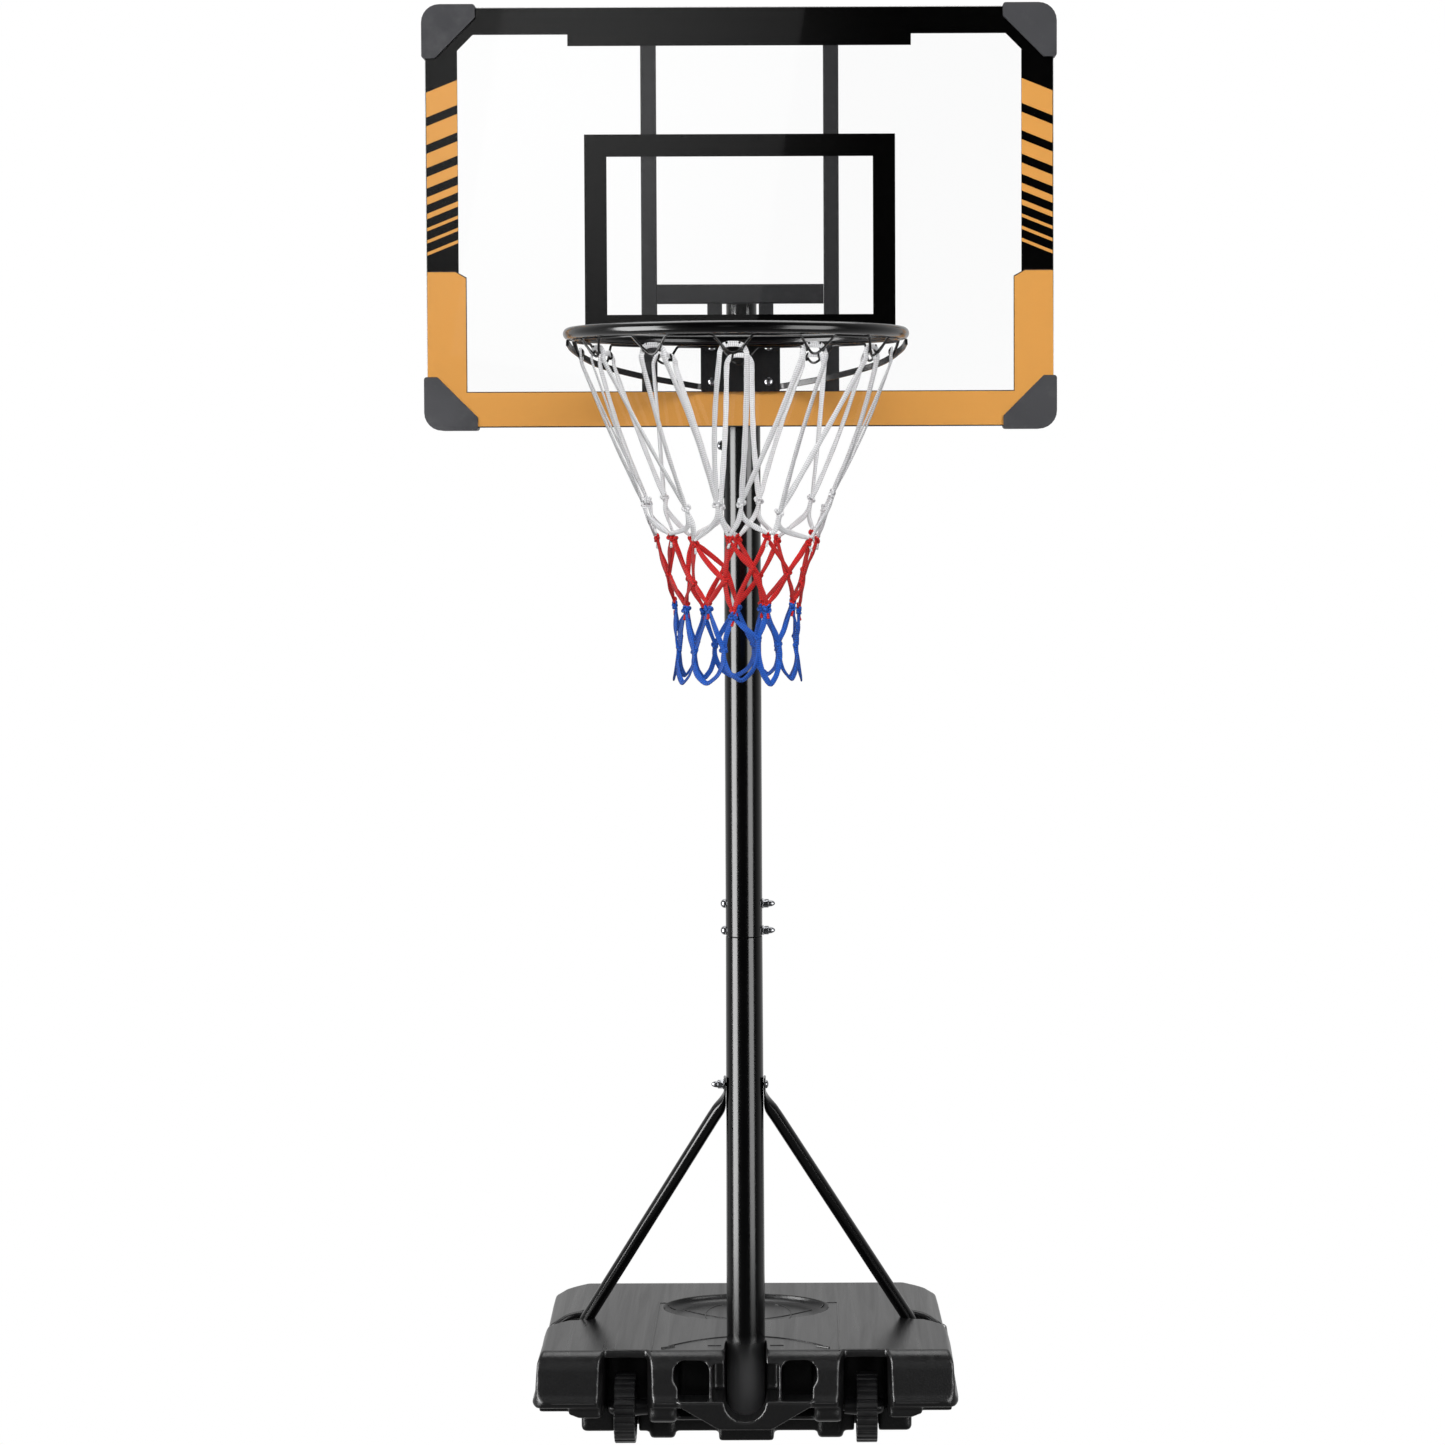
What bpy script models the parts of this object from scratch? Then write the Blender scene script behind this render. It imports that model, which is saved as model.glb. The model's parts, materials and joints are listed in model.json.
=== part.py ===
"""Portable basketball hoop: ballast tank on wheels, telescopic pole, clear backboard, rim and net.

Metres, +Z up. The board faces -Y. The origin is on the floor under the pole's axis.
"""

import math

import bmesh
import bpy
from mathutils import Vector

# ------------------------------------------------------------------ driving dimensions, in metres
GAP = 0.0003  # clearance between pieces that touch

BOARD_WIDTH = 0.900
BOARD_HEIGHT = 0.600
BOARD_BOTTOM = 1.502
BOARD_TOP = BOARD_BOTTOM + BOARD_HEIGHT
BOARD_CORNER = 0.020
BOARD_FRONT = -0.090
PANEL_THICKNESS = 0.003
FRAME_TUBE = 0.020
FRAME_WALL = 0.0012
FRAME_FRONT = BOARD_FRONT + PANEL_THICKNESS + GAP
FRAME_BACK = FRAME_FRONT + FRAME_TUBE

RAIL_X = 0.131
RAIL_WIDTH = 0.022
CROSS_BOTTOM = 1.679
CROSS_TOP = 1.7065
POST_INNER = 0.0265
POST_OUTER = 0.0475

PAD_LEG = 0.077
PAD_END = 0.019
PAD_PROUD = 0.0045
PAD_CORNER = 0.026

POLE_RADIUS = 0.027
POLE_WALL = 0.0012
POLE_FOOT = 0.030
SEAM_Z = 0.755
SWAGE_TOP = 0.842
MIDDLE_TOP = 1.532
UPPER_RADIUS = 0.02225
UPPER_BOTTOM = 0.862
UPPER_TOP = 1.692
BOLT_RADIUS = 0.003
BOLT_HOLE = 0.0034
LONG_NUT = 0.0185
NUT_END = 0.0027
SEAM_BOLT_Z = {"upper": 0.802, "lower": 0.7623}
LOCK_SCREW_Z = {"upper": 1.476, "lower": 1.406}
BRACKET_BOLT_Z = {"upper": 1.627, "lower": 1.568}
BRACKET_THICKNESS = 0.0032
BRACKET_BOTTOM = 1.542
BRACKET_TOP = 1.652

RIM_Z = 1.622
RIM_RADIUS = 0.2245
RIM_TUBE = 0.009
RIM_CENTRE_Y = -0.390
PLATE_HALF = 0.057
PLATE_BOTTOM = 1.552
PLATE_TOP = 1.644
PLATE_THICKNESS = 0.005
PLATE_BACK = BOARD_FRONT - GAP
PLATE_FRONT = PLATE_BACK - PLATE_THICKNESS
RIM_BOLT_X = 0.0405
NECK_HALF = 0.032
NECK_WALL = 0.003
RIM_BOLT_Z = {"upper": 1.6165, "lower": 1.5665}
HOOK_COUNT = 12
HOOK_WIRE = 0.002
NET_CORD = 0.003

TANK_HALF = 0.313
TANK_FRONT = -0.075
TANK_REAR = 0.400
TANK_TOP = 0.150
PARTING_Z = 0.078
WELL_INNER = 0.145
WELL_OUTER = 0.208
WELL_REAR = 0.056
WELL_TOP = 0.137
WHEEL_X = 0.1785
WHEEL_RADIUS = 0.0512
WHEEL_WIDTH = 0.031
AXLE_RADIUS = 0.006
AXLE_Z = 0.0522
BRACE_TOP_Z = 0.534
BRACE_RADIUS = 0.010
BRACE_FOOT = Vector((0.2575, 0.163, 0.107))
FOOT_SCREW = Vector((0.2805, 0.172, 0.1012))
POCKET_FLOOR = 0.107
FOOT_PLATE = 0.003
CAP_X = 0.160
CAP_Z = 0.105
CAP_FACE_Y = 0.386

ROUND = 24  # sides of a pole or wheel
SMALL_ROUND = 12  # sides of a bolt
PARTS_NAME = "portable_basketball_hoop"
CUTTERS_NAME = "cutters"


# ------------------------------------------------------------------ scene and materials
def clear_scene():
    for thing in list(bpy.data.objects):
        bpy.data.objects.remove(thing, do_unlink=True)
    for name in (PARTS_NAME, CUTTERS_NAME):
        collection = bpy.data.collections.new(name)
        bpy.context.scene.collection.children.link(collection)


def material(name, colour, roughness, metallic, alpha=1.0):
    made = bpy.data.materials.new(name)
    made.use_nodes = True
    shader = made.node_tree.nodes["Principled BSDF"]
    shader.inputs["Base Color"].default_value = (*colour, 1.0)
    shader.inputs["Roughness"].default_value = roughness
    shader.inputs["Metallic"].default_value = metallic
    shader.inputs["Alpha"].default_value = alpha
    return made


# ------------------------------------------------------------------ building blocks
def add_object(name, data, finish=None):
    """Links a part, or a cutter where no finish is given."""
    made = bpy.data.objects.new(name, data)
    home = CUTTERS_NAME if finish is None else PARTS_NAME
    bpy.data.collections[home].objects.link(made)
    if finish is None:
        made.hide_render = True
        made.display_type = "WIRE"
    else:
        data.materials.append(finish)
    return made


def smooth(made, angle=35):
    made.data.shade_smooth()
    made.data.set_sharp_from_angle(angle=math.radians(angle))
    return made


def box(name, low, high, finish=None, bevel=0.0):
    """A box between two corners, with its origin at its middle."""
    low = Vector(low)
    high = Vector(high)
    work = bmesh.new()
    bmesh.ops.create_cube(work, size=1.0)
    bmesh.ops.scale(work, vec=high - low, verts=work.verts)
    data = bpy.data.meshes.new(name)
    work.to_mesh(data)
    work.free()
    made = add_object(name, data, finish)
    made.location = (low + high) / 2
    if bevel:
        rounding = made.modifiers.new("edges", "BEVEL")
        rounding.width = bevel
        rounding.segments = 2
    return made


TURN = {"X": (0, math.pi / 2, 0), "Y": (-math.pi / 2, 0, 0), "Z": (0, 0, 0)}


def cylinder(name, start, axis, length, radius, finish=None, sides=SMALL_ROUND):
    """A cylinder from a start point along an axis."""
    work = bmesh.new()
    bmesh.ops.create_cone(
        work,
        cap_ends=True,
        segments=sides,
        radius1=radius,
        radius2=radius,
        depth=length,
    )
    bmesh.ops.translate(work, vec=(0, 0, length / 2), verts=work.verts)
    data = bpy.data.meshes.new(name)
    work.to_mesh(data)
    work.free()
    made = add_object(name, data, finish)
    made.location = start
    made.rotation_euler = TURN[axis]
    return made


def turned(name, profile, place, axis, finish=None, closed=False, steps=ROUND):
    """A profile of (radius, height) points, outer side from top down, turned about an axis at place."""
    data = bpy.data.meshes.new(name)
    count = len(profile)
    edges = [(i, i + 1) for i in range(count - 1)]
    if closed:
        edges.append((count - 1, 0))
    data.from_pydata([(radius, 0, height) for radius, height in profile], edges, [])
    made = add_object(name, data, finish)
    made.location = place
    made.rotation_euler = TURN[axis]
    screw = made.modifiers.new("turn", "SCREW")
    screw.axis = "Z"
    screw.angle = math.tau
    screw.steps = steps
    screw.render_steps = steps
    screw.use_merge_vertices = True
    screw.merge_threshold = 0.00001
    screw.use_smooth_shade = False
    return made


def prism(name, outline, low, high, across, finish=None):
    """A flat outline, filled and given thickness from low to high along the axis named across.

    An outline across Y is read as (x, z), across X as (y, z) and across Z as (x, y).
    """
    curve = bpy.data.curves.new(name, "CURVE")
    curve.dimensions = "2D"
    curve.fill_mode = "BOTH"
    curve.extrude = (high - low) / 2
    line = curve.splines.new("POLY")
    line.points.add(len(outline) - 1)
    line.use_cyclic_u = True
    for point, (u, v) in zip(line.points, outline):
        point.co = (u, v, 0, 1)
    guide = bpy.data.objects.new(name + "_outline", curve)
    bpy.data.collections[CUTTERS_NAME].objects.link(guide)
    data = curve_mesh(guide, name)
    middle = (low + high) / 2
    made = add_object(name, data, finish)
    if across == "Y":
        made.rotation_euler = (math.pi / 2, 0, 0)
        made.location = (0, middle, 0)
    elif across == "X":
        made.rotation_euler = (math.pi / 2, 0, math.pi / 2)
        made.location = (middle, 0, 0)
    else:
        made.location = (0, 0, middle)
    return made


def curve_mesh(guide, name):
    """The welded mesh of a curve object, which is removed."""
    depsgraph = bpy.context.evaluated_depsgraph_get()
    data = bpy.data.meshes.new_from_object(guide.evaluated_get(depsgraph))
    data.name = name
    work = bmesh.new()
    work.from_mesh(data)
    bmesh.ops.remove_doubles(work, verts=work.verts, dist=0.00001)
    bmesh.ops.recalc_face_normals(work, faces=work.faces)
    work.to_mesh(data)
    work.free()
    bpy.data.objects.remove(guide, do_unlink=True)
    return data


def wire(name, points, radius, finish=None, cyclic=False, resolution=2, caps=True):
    """A round bar or wire along a list of points."""
    curve = bpy.data.curves.new(name, "CURVE")
    curve.dimensions = "3D"
    curve.bevel_depth = radius
    curve.bevel_resolution = resolution
    curve.use_fill_caps = caps and not cyclic
    line = curve.splines.new("POLY")
    line.points.add(len(points) - 1)
    line.use_cyclic_u = cyclic
    for point, place in zip(line.points, points):
        point.co = (*place, 1)
    guide = bpy.data.objects.new(name + "_line", curve)
    bpy.data.collections[CUTTERS_NAME].objects.link(guide)
    return add_object(name, curve_mesh(guide, name), finish)


def combine(target, tool, operation):
    """Adds a Boolean: DIFFERENCE, UNION or INTERSECT. The tool is hidden with the cutters."""
    step = target.modifiers.new(tool.name, "BOOLEAN")
    step.operation = operation
    step.solver = "EXACT"
    step.object = tool
    return target


def cut(target, *tools):
    for tool in tools:
        combine(target, tool, "DIFFERENCE")
    return target


def join(target, *tools):
    for tool in tools:
        combine(target, tool, "UNION")
    return target


def rounded_rectangle(half_width, low, high, radius, steps=6):
    """Corner arcs of an upright rectangle centred on x = 0."""
    points = []
    centres = [(half_width - radius, high - radius), (radius - half_width, high - radius)]
    centres += [(radius - half_width, low + radius), (half_width - radius, low + radius)]
    for quarter, (x, z) in enumerate(centres):
        for step in range(steps + 1):
            angle = (quarter + step / steps) * math.pi / 2
            points.append((x + radius * math.cos(angle), z + radius * math.sin(angle)))
    return points


def mirrored(outline):
    """The right half of an outline, from bottom to top, closed by its mirror image."""
    return outline + [(-x, z) for x, z in reversed(outline)]


def hang_on(parent, children):
    """Parents pieces to an empty and keeps them in place."""
    bpy.context.view_layer.update()
    for child in children:
        child.parent = parent
        child.matrix_parent_inverse = parent.matrix_world.inverted()


def joint_axis(name, place):
    marker = bpy.data.objects.new(name, None)
    marker.location = place
    bpy.data.collections[PARTS_NAME].objects.link(marker)
    return marker


# ------------------------------------------------------------------ ballast tank
def tank_body(finish):
    """The upper shell: a low block whose sides lean in, with a raised plateau and rounded plan corners."""
    section = [
        (TANK_HALF - 0.004, PARTING_Z - 0.008),
        (TANK_HALF, PARTING_Z),
        (TANK_HALF - 0.006, PARTING_Z + 0.030),
        (TANK_HALF - 0.014, TANK_TOP - 0.020),
        (TANK_HALF - 0.034, TANK_TOP - 0.011),
        (TANK_HALF - 0.057, TANK_TOP),
    ]
    tank = prism("base_tank", mirrored(section), TANK_FRONT, TANK_REAR, "Y", finish)
    profile = [
        (TANK_FRONT + 0.004, PARTING_Z - 0.008),
        (TANK_REAR - 0.004, PARTING_Z - 0.008),
        (TANK_REAR, PARTING_Z),
        (TANK_REAR - 0.012, TANK_TOP - 0.025),
        (TANK_REAR - 0.030, TANK_TOP - 0.003),
        (TANK_REAR - 0.040, TANK_TOP),
        (TANK_FRONT + 0.026, TANK_TOP),
        (TANK_FRONT + 0.015, TANK_TOP - 0.004),
        (TANK_FRONT + 0.006, TANK_TOP - 0.025),
        (TANK_FRONT, PARTING_Z),
    ]
    side = prism("tank_side_profile", profile, -TANK_HALF - 0.1, TANK_HALF + 0.1, "X")
    plan = prism(
        "tank_plan", rounded_rectangle(TANK_HALF + 0.001, TANK_FRONT - 0.001, TANK_REAR + 0.001, 0.032),
        -0.1, 0.3, "Z"
    )
    combine(tank, side, "INTERSECT")
    combine(tank, plan, "INTERSECT")
    return tank


def tank_underside():
    """The tray and feet under the parting line."""
    blocks = {
        "tray": ((-0.246, 0.052, 0.010), (0.246, 0.385, 0.090)),
        "front_block": ((-0.143, -0.066, 0.040), (0.143, 0.060, 0.090)),
        "foot_centre": ((-0.041, -0.012, 0.0), (0.041, 0.110, 0.050)),
    }
    for side, word in ((-1, "left"), (1, "right")):
        inner, outer = sorted((side * 0.105, side * 0.145))
        blocks[f"foot_{word}"] = ((inner, 0.030, 0.0), (outer, 0.110, 0.050))
        inner, outer = sorted((side * 0.180, side * 0.240))
        blocks[f"rear_foot_{word}"] = ((inner, 0.300, 0.0), (outer, 0.380, 0.030))
        inner, outer = sorted((side * 0.2095, side * 0.254))
        blocks[f"outer_drop_{word}"] = ((inner, -0.064, 0.056), (outer, 0.060, 0.090))
    return [box(name, low, high) for name, (low, high) in blocks.items()]


def tank_openings():
    """Wheel wells, keyhole recesses, the pole's channel, axle hole, brace pockets and the fill hole."""
    tools = []
    for side, word in ((-1, "left"), (1, "right")):
        inner, outer = sorted((side * WELL_INNER, side * WELL_OUTER))
        tools.append(box(f"well_{word}", (inner, -0.2, -0.1), (outer, WELL_REAR, WELL_TOP)))
        inner, outer = sorted((side * 0.051, side * 0.104))
        tools.append(box(f"keyhole_{word}", (inner, -0.2, 0.081), (outer, -0.020, 0.138), bevel=0.012))
        inner, outer = sorted((side * 0.217, side * 0.330))
        tools.append(box(f"brace_pocket_{word}", (inner, 0.128, POCKET_FLOOR), (outer, 0.200, 0.2)))
        screw = (side * FOOT_SCREW.x, FOOT_SCREW.y, FOOT_SCREW.z)
        tools.append(cylinder(f"foot_screw_hole_{word}", screw, "Z", 0.05, 0.0028, sides=12))
    channel = box("pole_channel", (-0.031, -0.2, 0.022), (0.031, 0.0, 0.3))
    tools.append(channel)
    tools.append(cylinder("pole_socket", (0, 0, 0.0222), "Z", 0.3, 0.0312, sides=ROUND))
    tools.append(cylinder("axle_hole", (-0.17, 0, AXLE_Z), "X", 0.34, AXLE_RADIUS + 0.0006))
    tools.append(turned("deck_dish", [(0, 0.010), (0.128, 0.010), (0.128, 0.0), (0.112, -0.004),
                                      (0, -0.0045)],
                        (0, 0.210, TANK_TOP), "Z"))
    tools[-1].scale = (1, 0.66, 1)
    tools.append(cylinder("cap_recess", (CAP_X, CAP_FACE_Y, CAP_Z), "Y", 0.05, 0.030, sides=ROUND))
    return tools


CAVITY = {
    "main": ((-0.212, 0.063, 0.0145), (0.212, 0.366, 0.141)),
    "wing_left": ((-0.286, 0.064, 0.084), (-0.205, 0.372, 0.0985)),
    "wing_right": ((0.205, 0.064, 0.084), (0.286, 0.372, 0.0985)),
    "front_left": ((-0.288, -0.066, 0.084), (-0.2135, 0.078, 0.126)),
    "front_right": ((0.2135, -0.066, 0.084), (0.288, 0.078, 0.126)),
}


def tank_cavity():
    """The space for the fill, as one cutter, and the neck that opens it at the rear."""
    first, *others = [box(f"cavity_{name}", low, high) for name, (low, high) in CAVITY.items()]
    join(first, *others)
    neck = cylinder("fill_neck", (CAP_X, 0.360, CAP_Z), "Y", 0.05, 0.018, sides=ROUND)
    return [first, neck]


def chin_lip(tank):
    """Joins to the tank the lip below the channel, with the U notch that shows the foot of the pole."""
    outline = [(0.040, 0.040), (0.094, 0.072), (0.097, 0.081)]
    lip = prism("chin_lip", mirrored(outline), TANK_FRONT - 0.003, -0.040, "Y")
    notch = cylinder("chin_notch", (0, -0.2, 0.0815), "Y", 0.3, 0.0305, sides=ROUND)
    cut(lip, notch)
    return join(tank, lip)


def base_tank(finish):
    tank = tank_body(finish)
    join(tank, *tank_underside())
    cut(tank, *tank_openings())
    chin_lip(tank)
    cut(tank, *tank_cavity())
    return tank


def water_ballast(finish):
    """The fill: the cavity's own form with a gap all round, and its level below the roof."""
    shrink = 0.0006
    level = 0.012
    blocks = []
    for name, (low, high) in CAVITY.items():
        inner_low = Vector(low) + Vector((shrink, shrink, shrink))
        inner_high = Vector(high) - Vector((shrink, shrink, shrink + (level if name == "main" else 0)))
        blocks.append((name, inner_low, inner_high))
    name, low, high = blocks[0]
    water = box("water_ballast", low, high, finish)
    for name, low, high in blocks[1:]:
        join(water, box(f"fill_{name}", low, high))
    return water


def fill_plug(plastic, rubber):
    cap = turned(
        "fill_cap",
        [(0, 0.0115), (0.018, 0.0115), (0.0245, 0.008), (0.0255, 0.0022), (0.0165, 0.0022),
         (0.0165, -0.007),
         (0.0145, -0.0078), (0, -0.0078)],
        (CAP_X, CAP_FACE_Y, CAP_Z), "Y", plastic,
    )
    grip = box("cap_grip", (CAP_X - 0.003, CAP_FACE_Y + 0.009, CAP_Z - 0.014),
               (CAP_X + 0.003, CAP_FACE_Y + 0.0135, CAP_Z + 0.014))
    join(cap, grip)
    seal = turned(
        "cap_seal",
        [(0.0235, 0.0019), (0.0235, 0.0003), (0.0186, 0.0003), (0.0186, 0.0019)],
        (CAP_X, CAP_FACE_Y, CAP_Z), "Y", rubber, closed=True,
    )
    return cap, seal


# ------------------------------------------------------------------ wheels
def wheel_set(word, side, plastic, clip_plastic):
    """A ribbed wheel with a long inner hub, and the push-on cap that keeps it on the axle."""
    half = WHEEL_WIDTH / 2
    bore = AXLE_RADIUS + 0.0006
    hub = WHEEL_X - WELL_INNER - 0.0008
    profile = [
        (bore, half), (0.013, half), (0.016, half - 0.005), (WHEEL_RADIUS - 0.010, half - 0.005),
        (WHEEL_RADIUS - 0.008, half), (WHEEL_RADIUS - 0.002, half), (WHEEL_RADIUS, half - 0.002),
        (WHEEL_RADIUS, 0.002 - half), (WHEEL_RADIUS - 0.002, -half), (WHEEL_RADIUS - 0.008, -half),
        (WHEEL_RADIUS - 0.010, 0.005 - half), (0.016, 0.005 - half), (0.013, -half), (0.011, -hub),
        (bore, -hub),
    ]
    wheel = turned(f"wheel_{word}", profile, (side * WHEEL_X, 0, AXLE_Z), "X", plastic, closed=True)
    if side < 0:
        wheel.rotation_euler = (0, -math.pi / 2, 0)
    clip_start = WHEEL_X + half + 0.0006
    clip = turned(
        f"axle_clip_{word}",
        [(0, 0.0095), (0.006, 0.0088), (0.0095, 0.0045), (0.0105, 0), (0.0064, 0), (0.0064, 0.0074),
         (0, 0.0074)],
        (side * clip_start, 0, AXLE_Z), "X", clip_plastic, steps=SMALL_ROUND,
    )
    if side < 0:
        clip.rotation_euler = (0, -math.pi / 2, 0)
    return wheel, clip


def wheel_axle(finish):
    half = WHEEL_X + WHEEL_WIDTH / 2 + 0.0006 + 0.0070
    return cylinder("wheel_axle", (-half, 0, AXLE_Z), "X", 2 * half, AXLE_RADIUS, finish)


# ------------------------------------------------------------------ pole
def ring(name, outer, inner, low, high, finish):
    profile = [(outer, high), (outer, low), (inner, low), (inner, high)]
    return turned(name, profile, (0, 0, 0), "Z", finish, closed=True)


def cross_hole(name, height, radius=BOLT_HOLE, reach=0.05):
    return cylinder(name, (-reach, 0, height), "X", 2 * reach, radius)


def pole_tubes(paint):
    """The lower tube with its swaged end, the middle tube over it, and the sliding upper tube."""
    inner = POLE_RADIUS - POLE_WALL
    swage = inner - 0.0005
    lower_profile = [
        (swage - 0.0006, SWAGE_TOP), (swage, SWAGE_TOP - 0.002), (swage, SEAM_Z + 0.001),
        (POLE_RADIUS, SEAM_Z - 0.0035), (POLE_RADIUS, POLE_FOOT), (inner, POLE_FOOT),
        (inner, SEAM_Z - 0.006), (swage - POLE_WALL, SEAM_Z), (swage - POLE_WALL, SWAGE_TOP),
    ]
    lower = turned("pole_lower", lower_profile, (0, 0, 0), "Z", paint, closed=True)
    middle = ring("pole_middle", POLE_RADIUS, inner, SEAM_Z, MIDDLE_TOP, paint)
    upper = ring("pole_upper", UPPER_RADIUS, UPPER_RADIUS - 0.0015, UPPER_BOTTOM, UPPER_TOP, paint)
    for word, height in SEAM_BOLT_Z.items():
        hole = cross_hole(f"seam_hole_{word}", height)
        cut(lower, hole)
        cut(middle, hole)
    for word, height in LOCK_SCREW_Z.items():
        start = (-POLE_RADIUS - 0.0045, 0, height)
        boss = cylinder(f"lock_boss_{word}", start, "X", 0.0052, 0.0075, sides=6)
        join(middle, boss)
        bore = cylinder(f"lock_bore_{word}", (-0.05, 0, height), "X", 0.04, 0.0034)
        cut(middle, bore)
    for word, height in BRACKET_BOLT_Z.items():
        cut(upper, cross_hole(f"bracket_hole_{word}", height))
    cut(lower, cross_hole("brace_bolt_hole", BRACE_TOP_Z))
    cut(lower, cross_hole("pole_axle_hole", AXLE_Z, AXLE_RADIUS + 0.0006))
    return lower, middle, upper


def guide_bush(plastic):
    """The collar that guides the upper tube; its flange sits on the middle tube."""
    bore = UPPER_RADIUS + 0.0004
    wall = POLE_RADIUS - POLE_WALL - GAP
    top = MIDDLE_TOP + GAP + 0.003
    profile = [
        (POLE_RADIUS + 0.0006, top - 0.0006), (POLE_RADIUS + 0.0006, MIDDLE_TOP + GAP),
        (wall, MIDDLE_TOP + GAP),
        (wall, MIDDLE_TOP - 0.030), (bore, MIDDLE_TOP - 0.030), (bore, top),
        (POLE_RADIUS, top),
    ]
    return turned("guide_bush", profile, (0, 0, 0), "Z", plastic, closed=True)


def pole_cap(plastic):
    plug = UPPER_RADIUS - 0.0015 - GAP
    top = UPPER_TOP + GAP
    profile = [
        (0, top + 0.003), (UPPER_RADIUS - 0.003, top + 0.003), (UPPER_RADIUS, top + 0.001),
        (UPPER_RADIUS, top),
        (plug, top), (plug, top - 0.012), (plug - 0.002, top - 0.012), (plug - 0.002, top), (0, top),
    ]
    return turned("pole_cap", profile, (0, 0, 0), "Z", plastic)


# ------------------------------------------------------------------ bolts
def bolt(name, place, axis, length, finish, head_radius=0.0062, head_height=0.0042, flip=False):
    """A dome-headed bolt. place is under the head; the shank runs along +axis, or -axis when flipped."""
    profile = [(0, length), (BOLT_RADIUS - 0.0004, length), (BOLT_RADIUS, length - 0.0006),
               (BOLT_RADIUS, 0),
               (head_radius, 0), (head_radius * 0.94, -head_height * 0.45),
               (head_radius * 0.62, -head_height * 0.85),
               (0, -head_height)]
    made = turned(name, profile, place, axis, finish, steps=SMALL_ROUND)
    turn_round(made, axis, flip)
    return made


def nut(name, place, axis, finish, flip=False, height=0.0115):
    """A washer, hexagon and cap in one acorn nut, with a blind bore. place is its seat."""
    bore = BOLT_HOLE
    depth = height - NUT_END
    shoulder = height / 2
    profile = [(0, height), (0.0026, height - 0.0007), (0.0044, height - 0.0030), (0.0052, shoulder),
               (0.0062, shoulder - 0.0002), (0.0062, 0.0012),
               (0.0074, 0.0012), (0.0074, 0), (bore, 0), (bore, depth), (0, depth)]
    made = turned(name, profile, place, axis, finish, steps=12)
    turn_round(made, axis, flip)
    return made


def turn_round(made, axis, flip):
    if flip:
        made.rotation_euler = {"X": (0, -math.pi / 2, 0), "Y": (math.pi / 2, 0, 0),
                               "Z": (math.pi, 0, 0)}[axis]


def pole_fasteners(steel, dark):
    """Seam bolts with nuts to the right, the brace bolt with its nut to the left, and two lock screws."""
    made = []
    seat = POLE_RADIUS + GAP
    for word, height in SEAM_BOLT_Z.items():
        reach = 2 * seat + LONG_NUT - NUT_END - 0.0008
        made.append(bolt(f"seam_bolt_{word}", (-seat, 0, height), "X", reach, steel, 0.0066, 0.0072))
        made.append(nut(f"seam_nut_{word}", (seat, 0, height), "X", steel, height=LONG_NUT))
    brace_seat = POLE_RADIUS + 2 * GAP + 0.003
    made.append(
        bolt("brace_bolt", (brace_seat + GAP, 0, BRACE_TOP_Z), "X",
             2 * brace_seat + LONG_NUT - NUT_END - 0.0008, steel, flip=True)
    )
    brace_nut_place = (-brace_seat - GAP, 0, BRACE_TOP_Z)
    made.append(nut("brace_nut", brace_nut_place, "X", steel, flip=True, height=LONG_NUT))
    for word, height in LOCK_SCREW_Z.items():
        start = (-POLE_RADIUS - 0.0045 - GAP, 0, height)
        reach = POLE_RADIUS + 0.0045 + GAP - UPPER_RADIUS - 0.0006
        made.append(bolt(f"lock_screw_{word}", start, "X", reach, dark, 0.0068, 0.0046))
    return made


# ------------------------------------------------------------------ braces
def brace(word, side, paint):
    """A thin tube from the pole to the tank, with a flat ear at the top and a flat foot at the bottom."""
    top = Vector((side * (POLE_RADIUS + 0.0075), 0.002, BRACE_TOP_Z - 0.020))
    foot = Vector((side * BRACE_FOOT.x, BRACE_FOOT.y, BRACE_FOOT.z))
    run = (foot - top).normalized()
    points = [top, top.lerp(foot, 0.5), foot + run * 0.015]
    tube = wire(f"brace_{word}", points, BRACE_RADIUS, paint, caps=False)
    shell = tube.modifiers.new("wall", "SOLIDIFY")
    shell.thickness = 0.0012
    shell.offset = -1
    inner = side * (POLE_RADIUS + GAP)
    low_x, high_x = sorted((inner, inner + side * 0.003))
    ear = box(f"brace_ear_{word}", (low_x, -0.011, BRACE_TOP_Z - 0.045),
              (high_x, 0.011, BRACE_TOP_Z + 0.012))
    keep_low, keep_high = sorted((inner - side * 0.06, inner + side * 0.0012))
    trim = box(f"brace_trim_{word}", (keep_low, -0.05, BRACE_TOP_Z - 0.10),
               (keep_high, 0.05, BRACE_TOP_Z + 0.05))
    low_x, high_x = sorted((side * (BRACE_FOOT.x - 0.018), side * (FOOT_SCREW.x + 0.011)))
    floor = POCKET_FLOOR + GAP
    foot_plate = box(f"brace_foot_{word}", (low_x, BRACE_FOOT.y - 0.016, floor),
                     (high_x, BRACE_FOOT.y + 0.020, floor + FOOT_PLATE))
    below = box(f"brace_floor_{word}", (low_x - 0.05, 0.08, floor - 0.05),
                (high_x + 0.05, 0.26, floor + 0.001))
    cut(tube, trim, below)
    join(tube, ear, foot_plate)
    hole = cylinder(f"brace_hole_{word}", (-0.06, 0, BRACE_TOP_Z), "X", 0.12, BOLT_HOLE)
    screw_hole = cylinder(f"brace_foot_hole_{word}", (side * FOOT_SCREW.x, FOOT_SCREW.y, 0.10), "Z", 0.05,
                          BOLT_HOLE)
    return cut(tube, hole, screw_hole)


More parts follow.
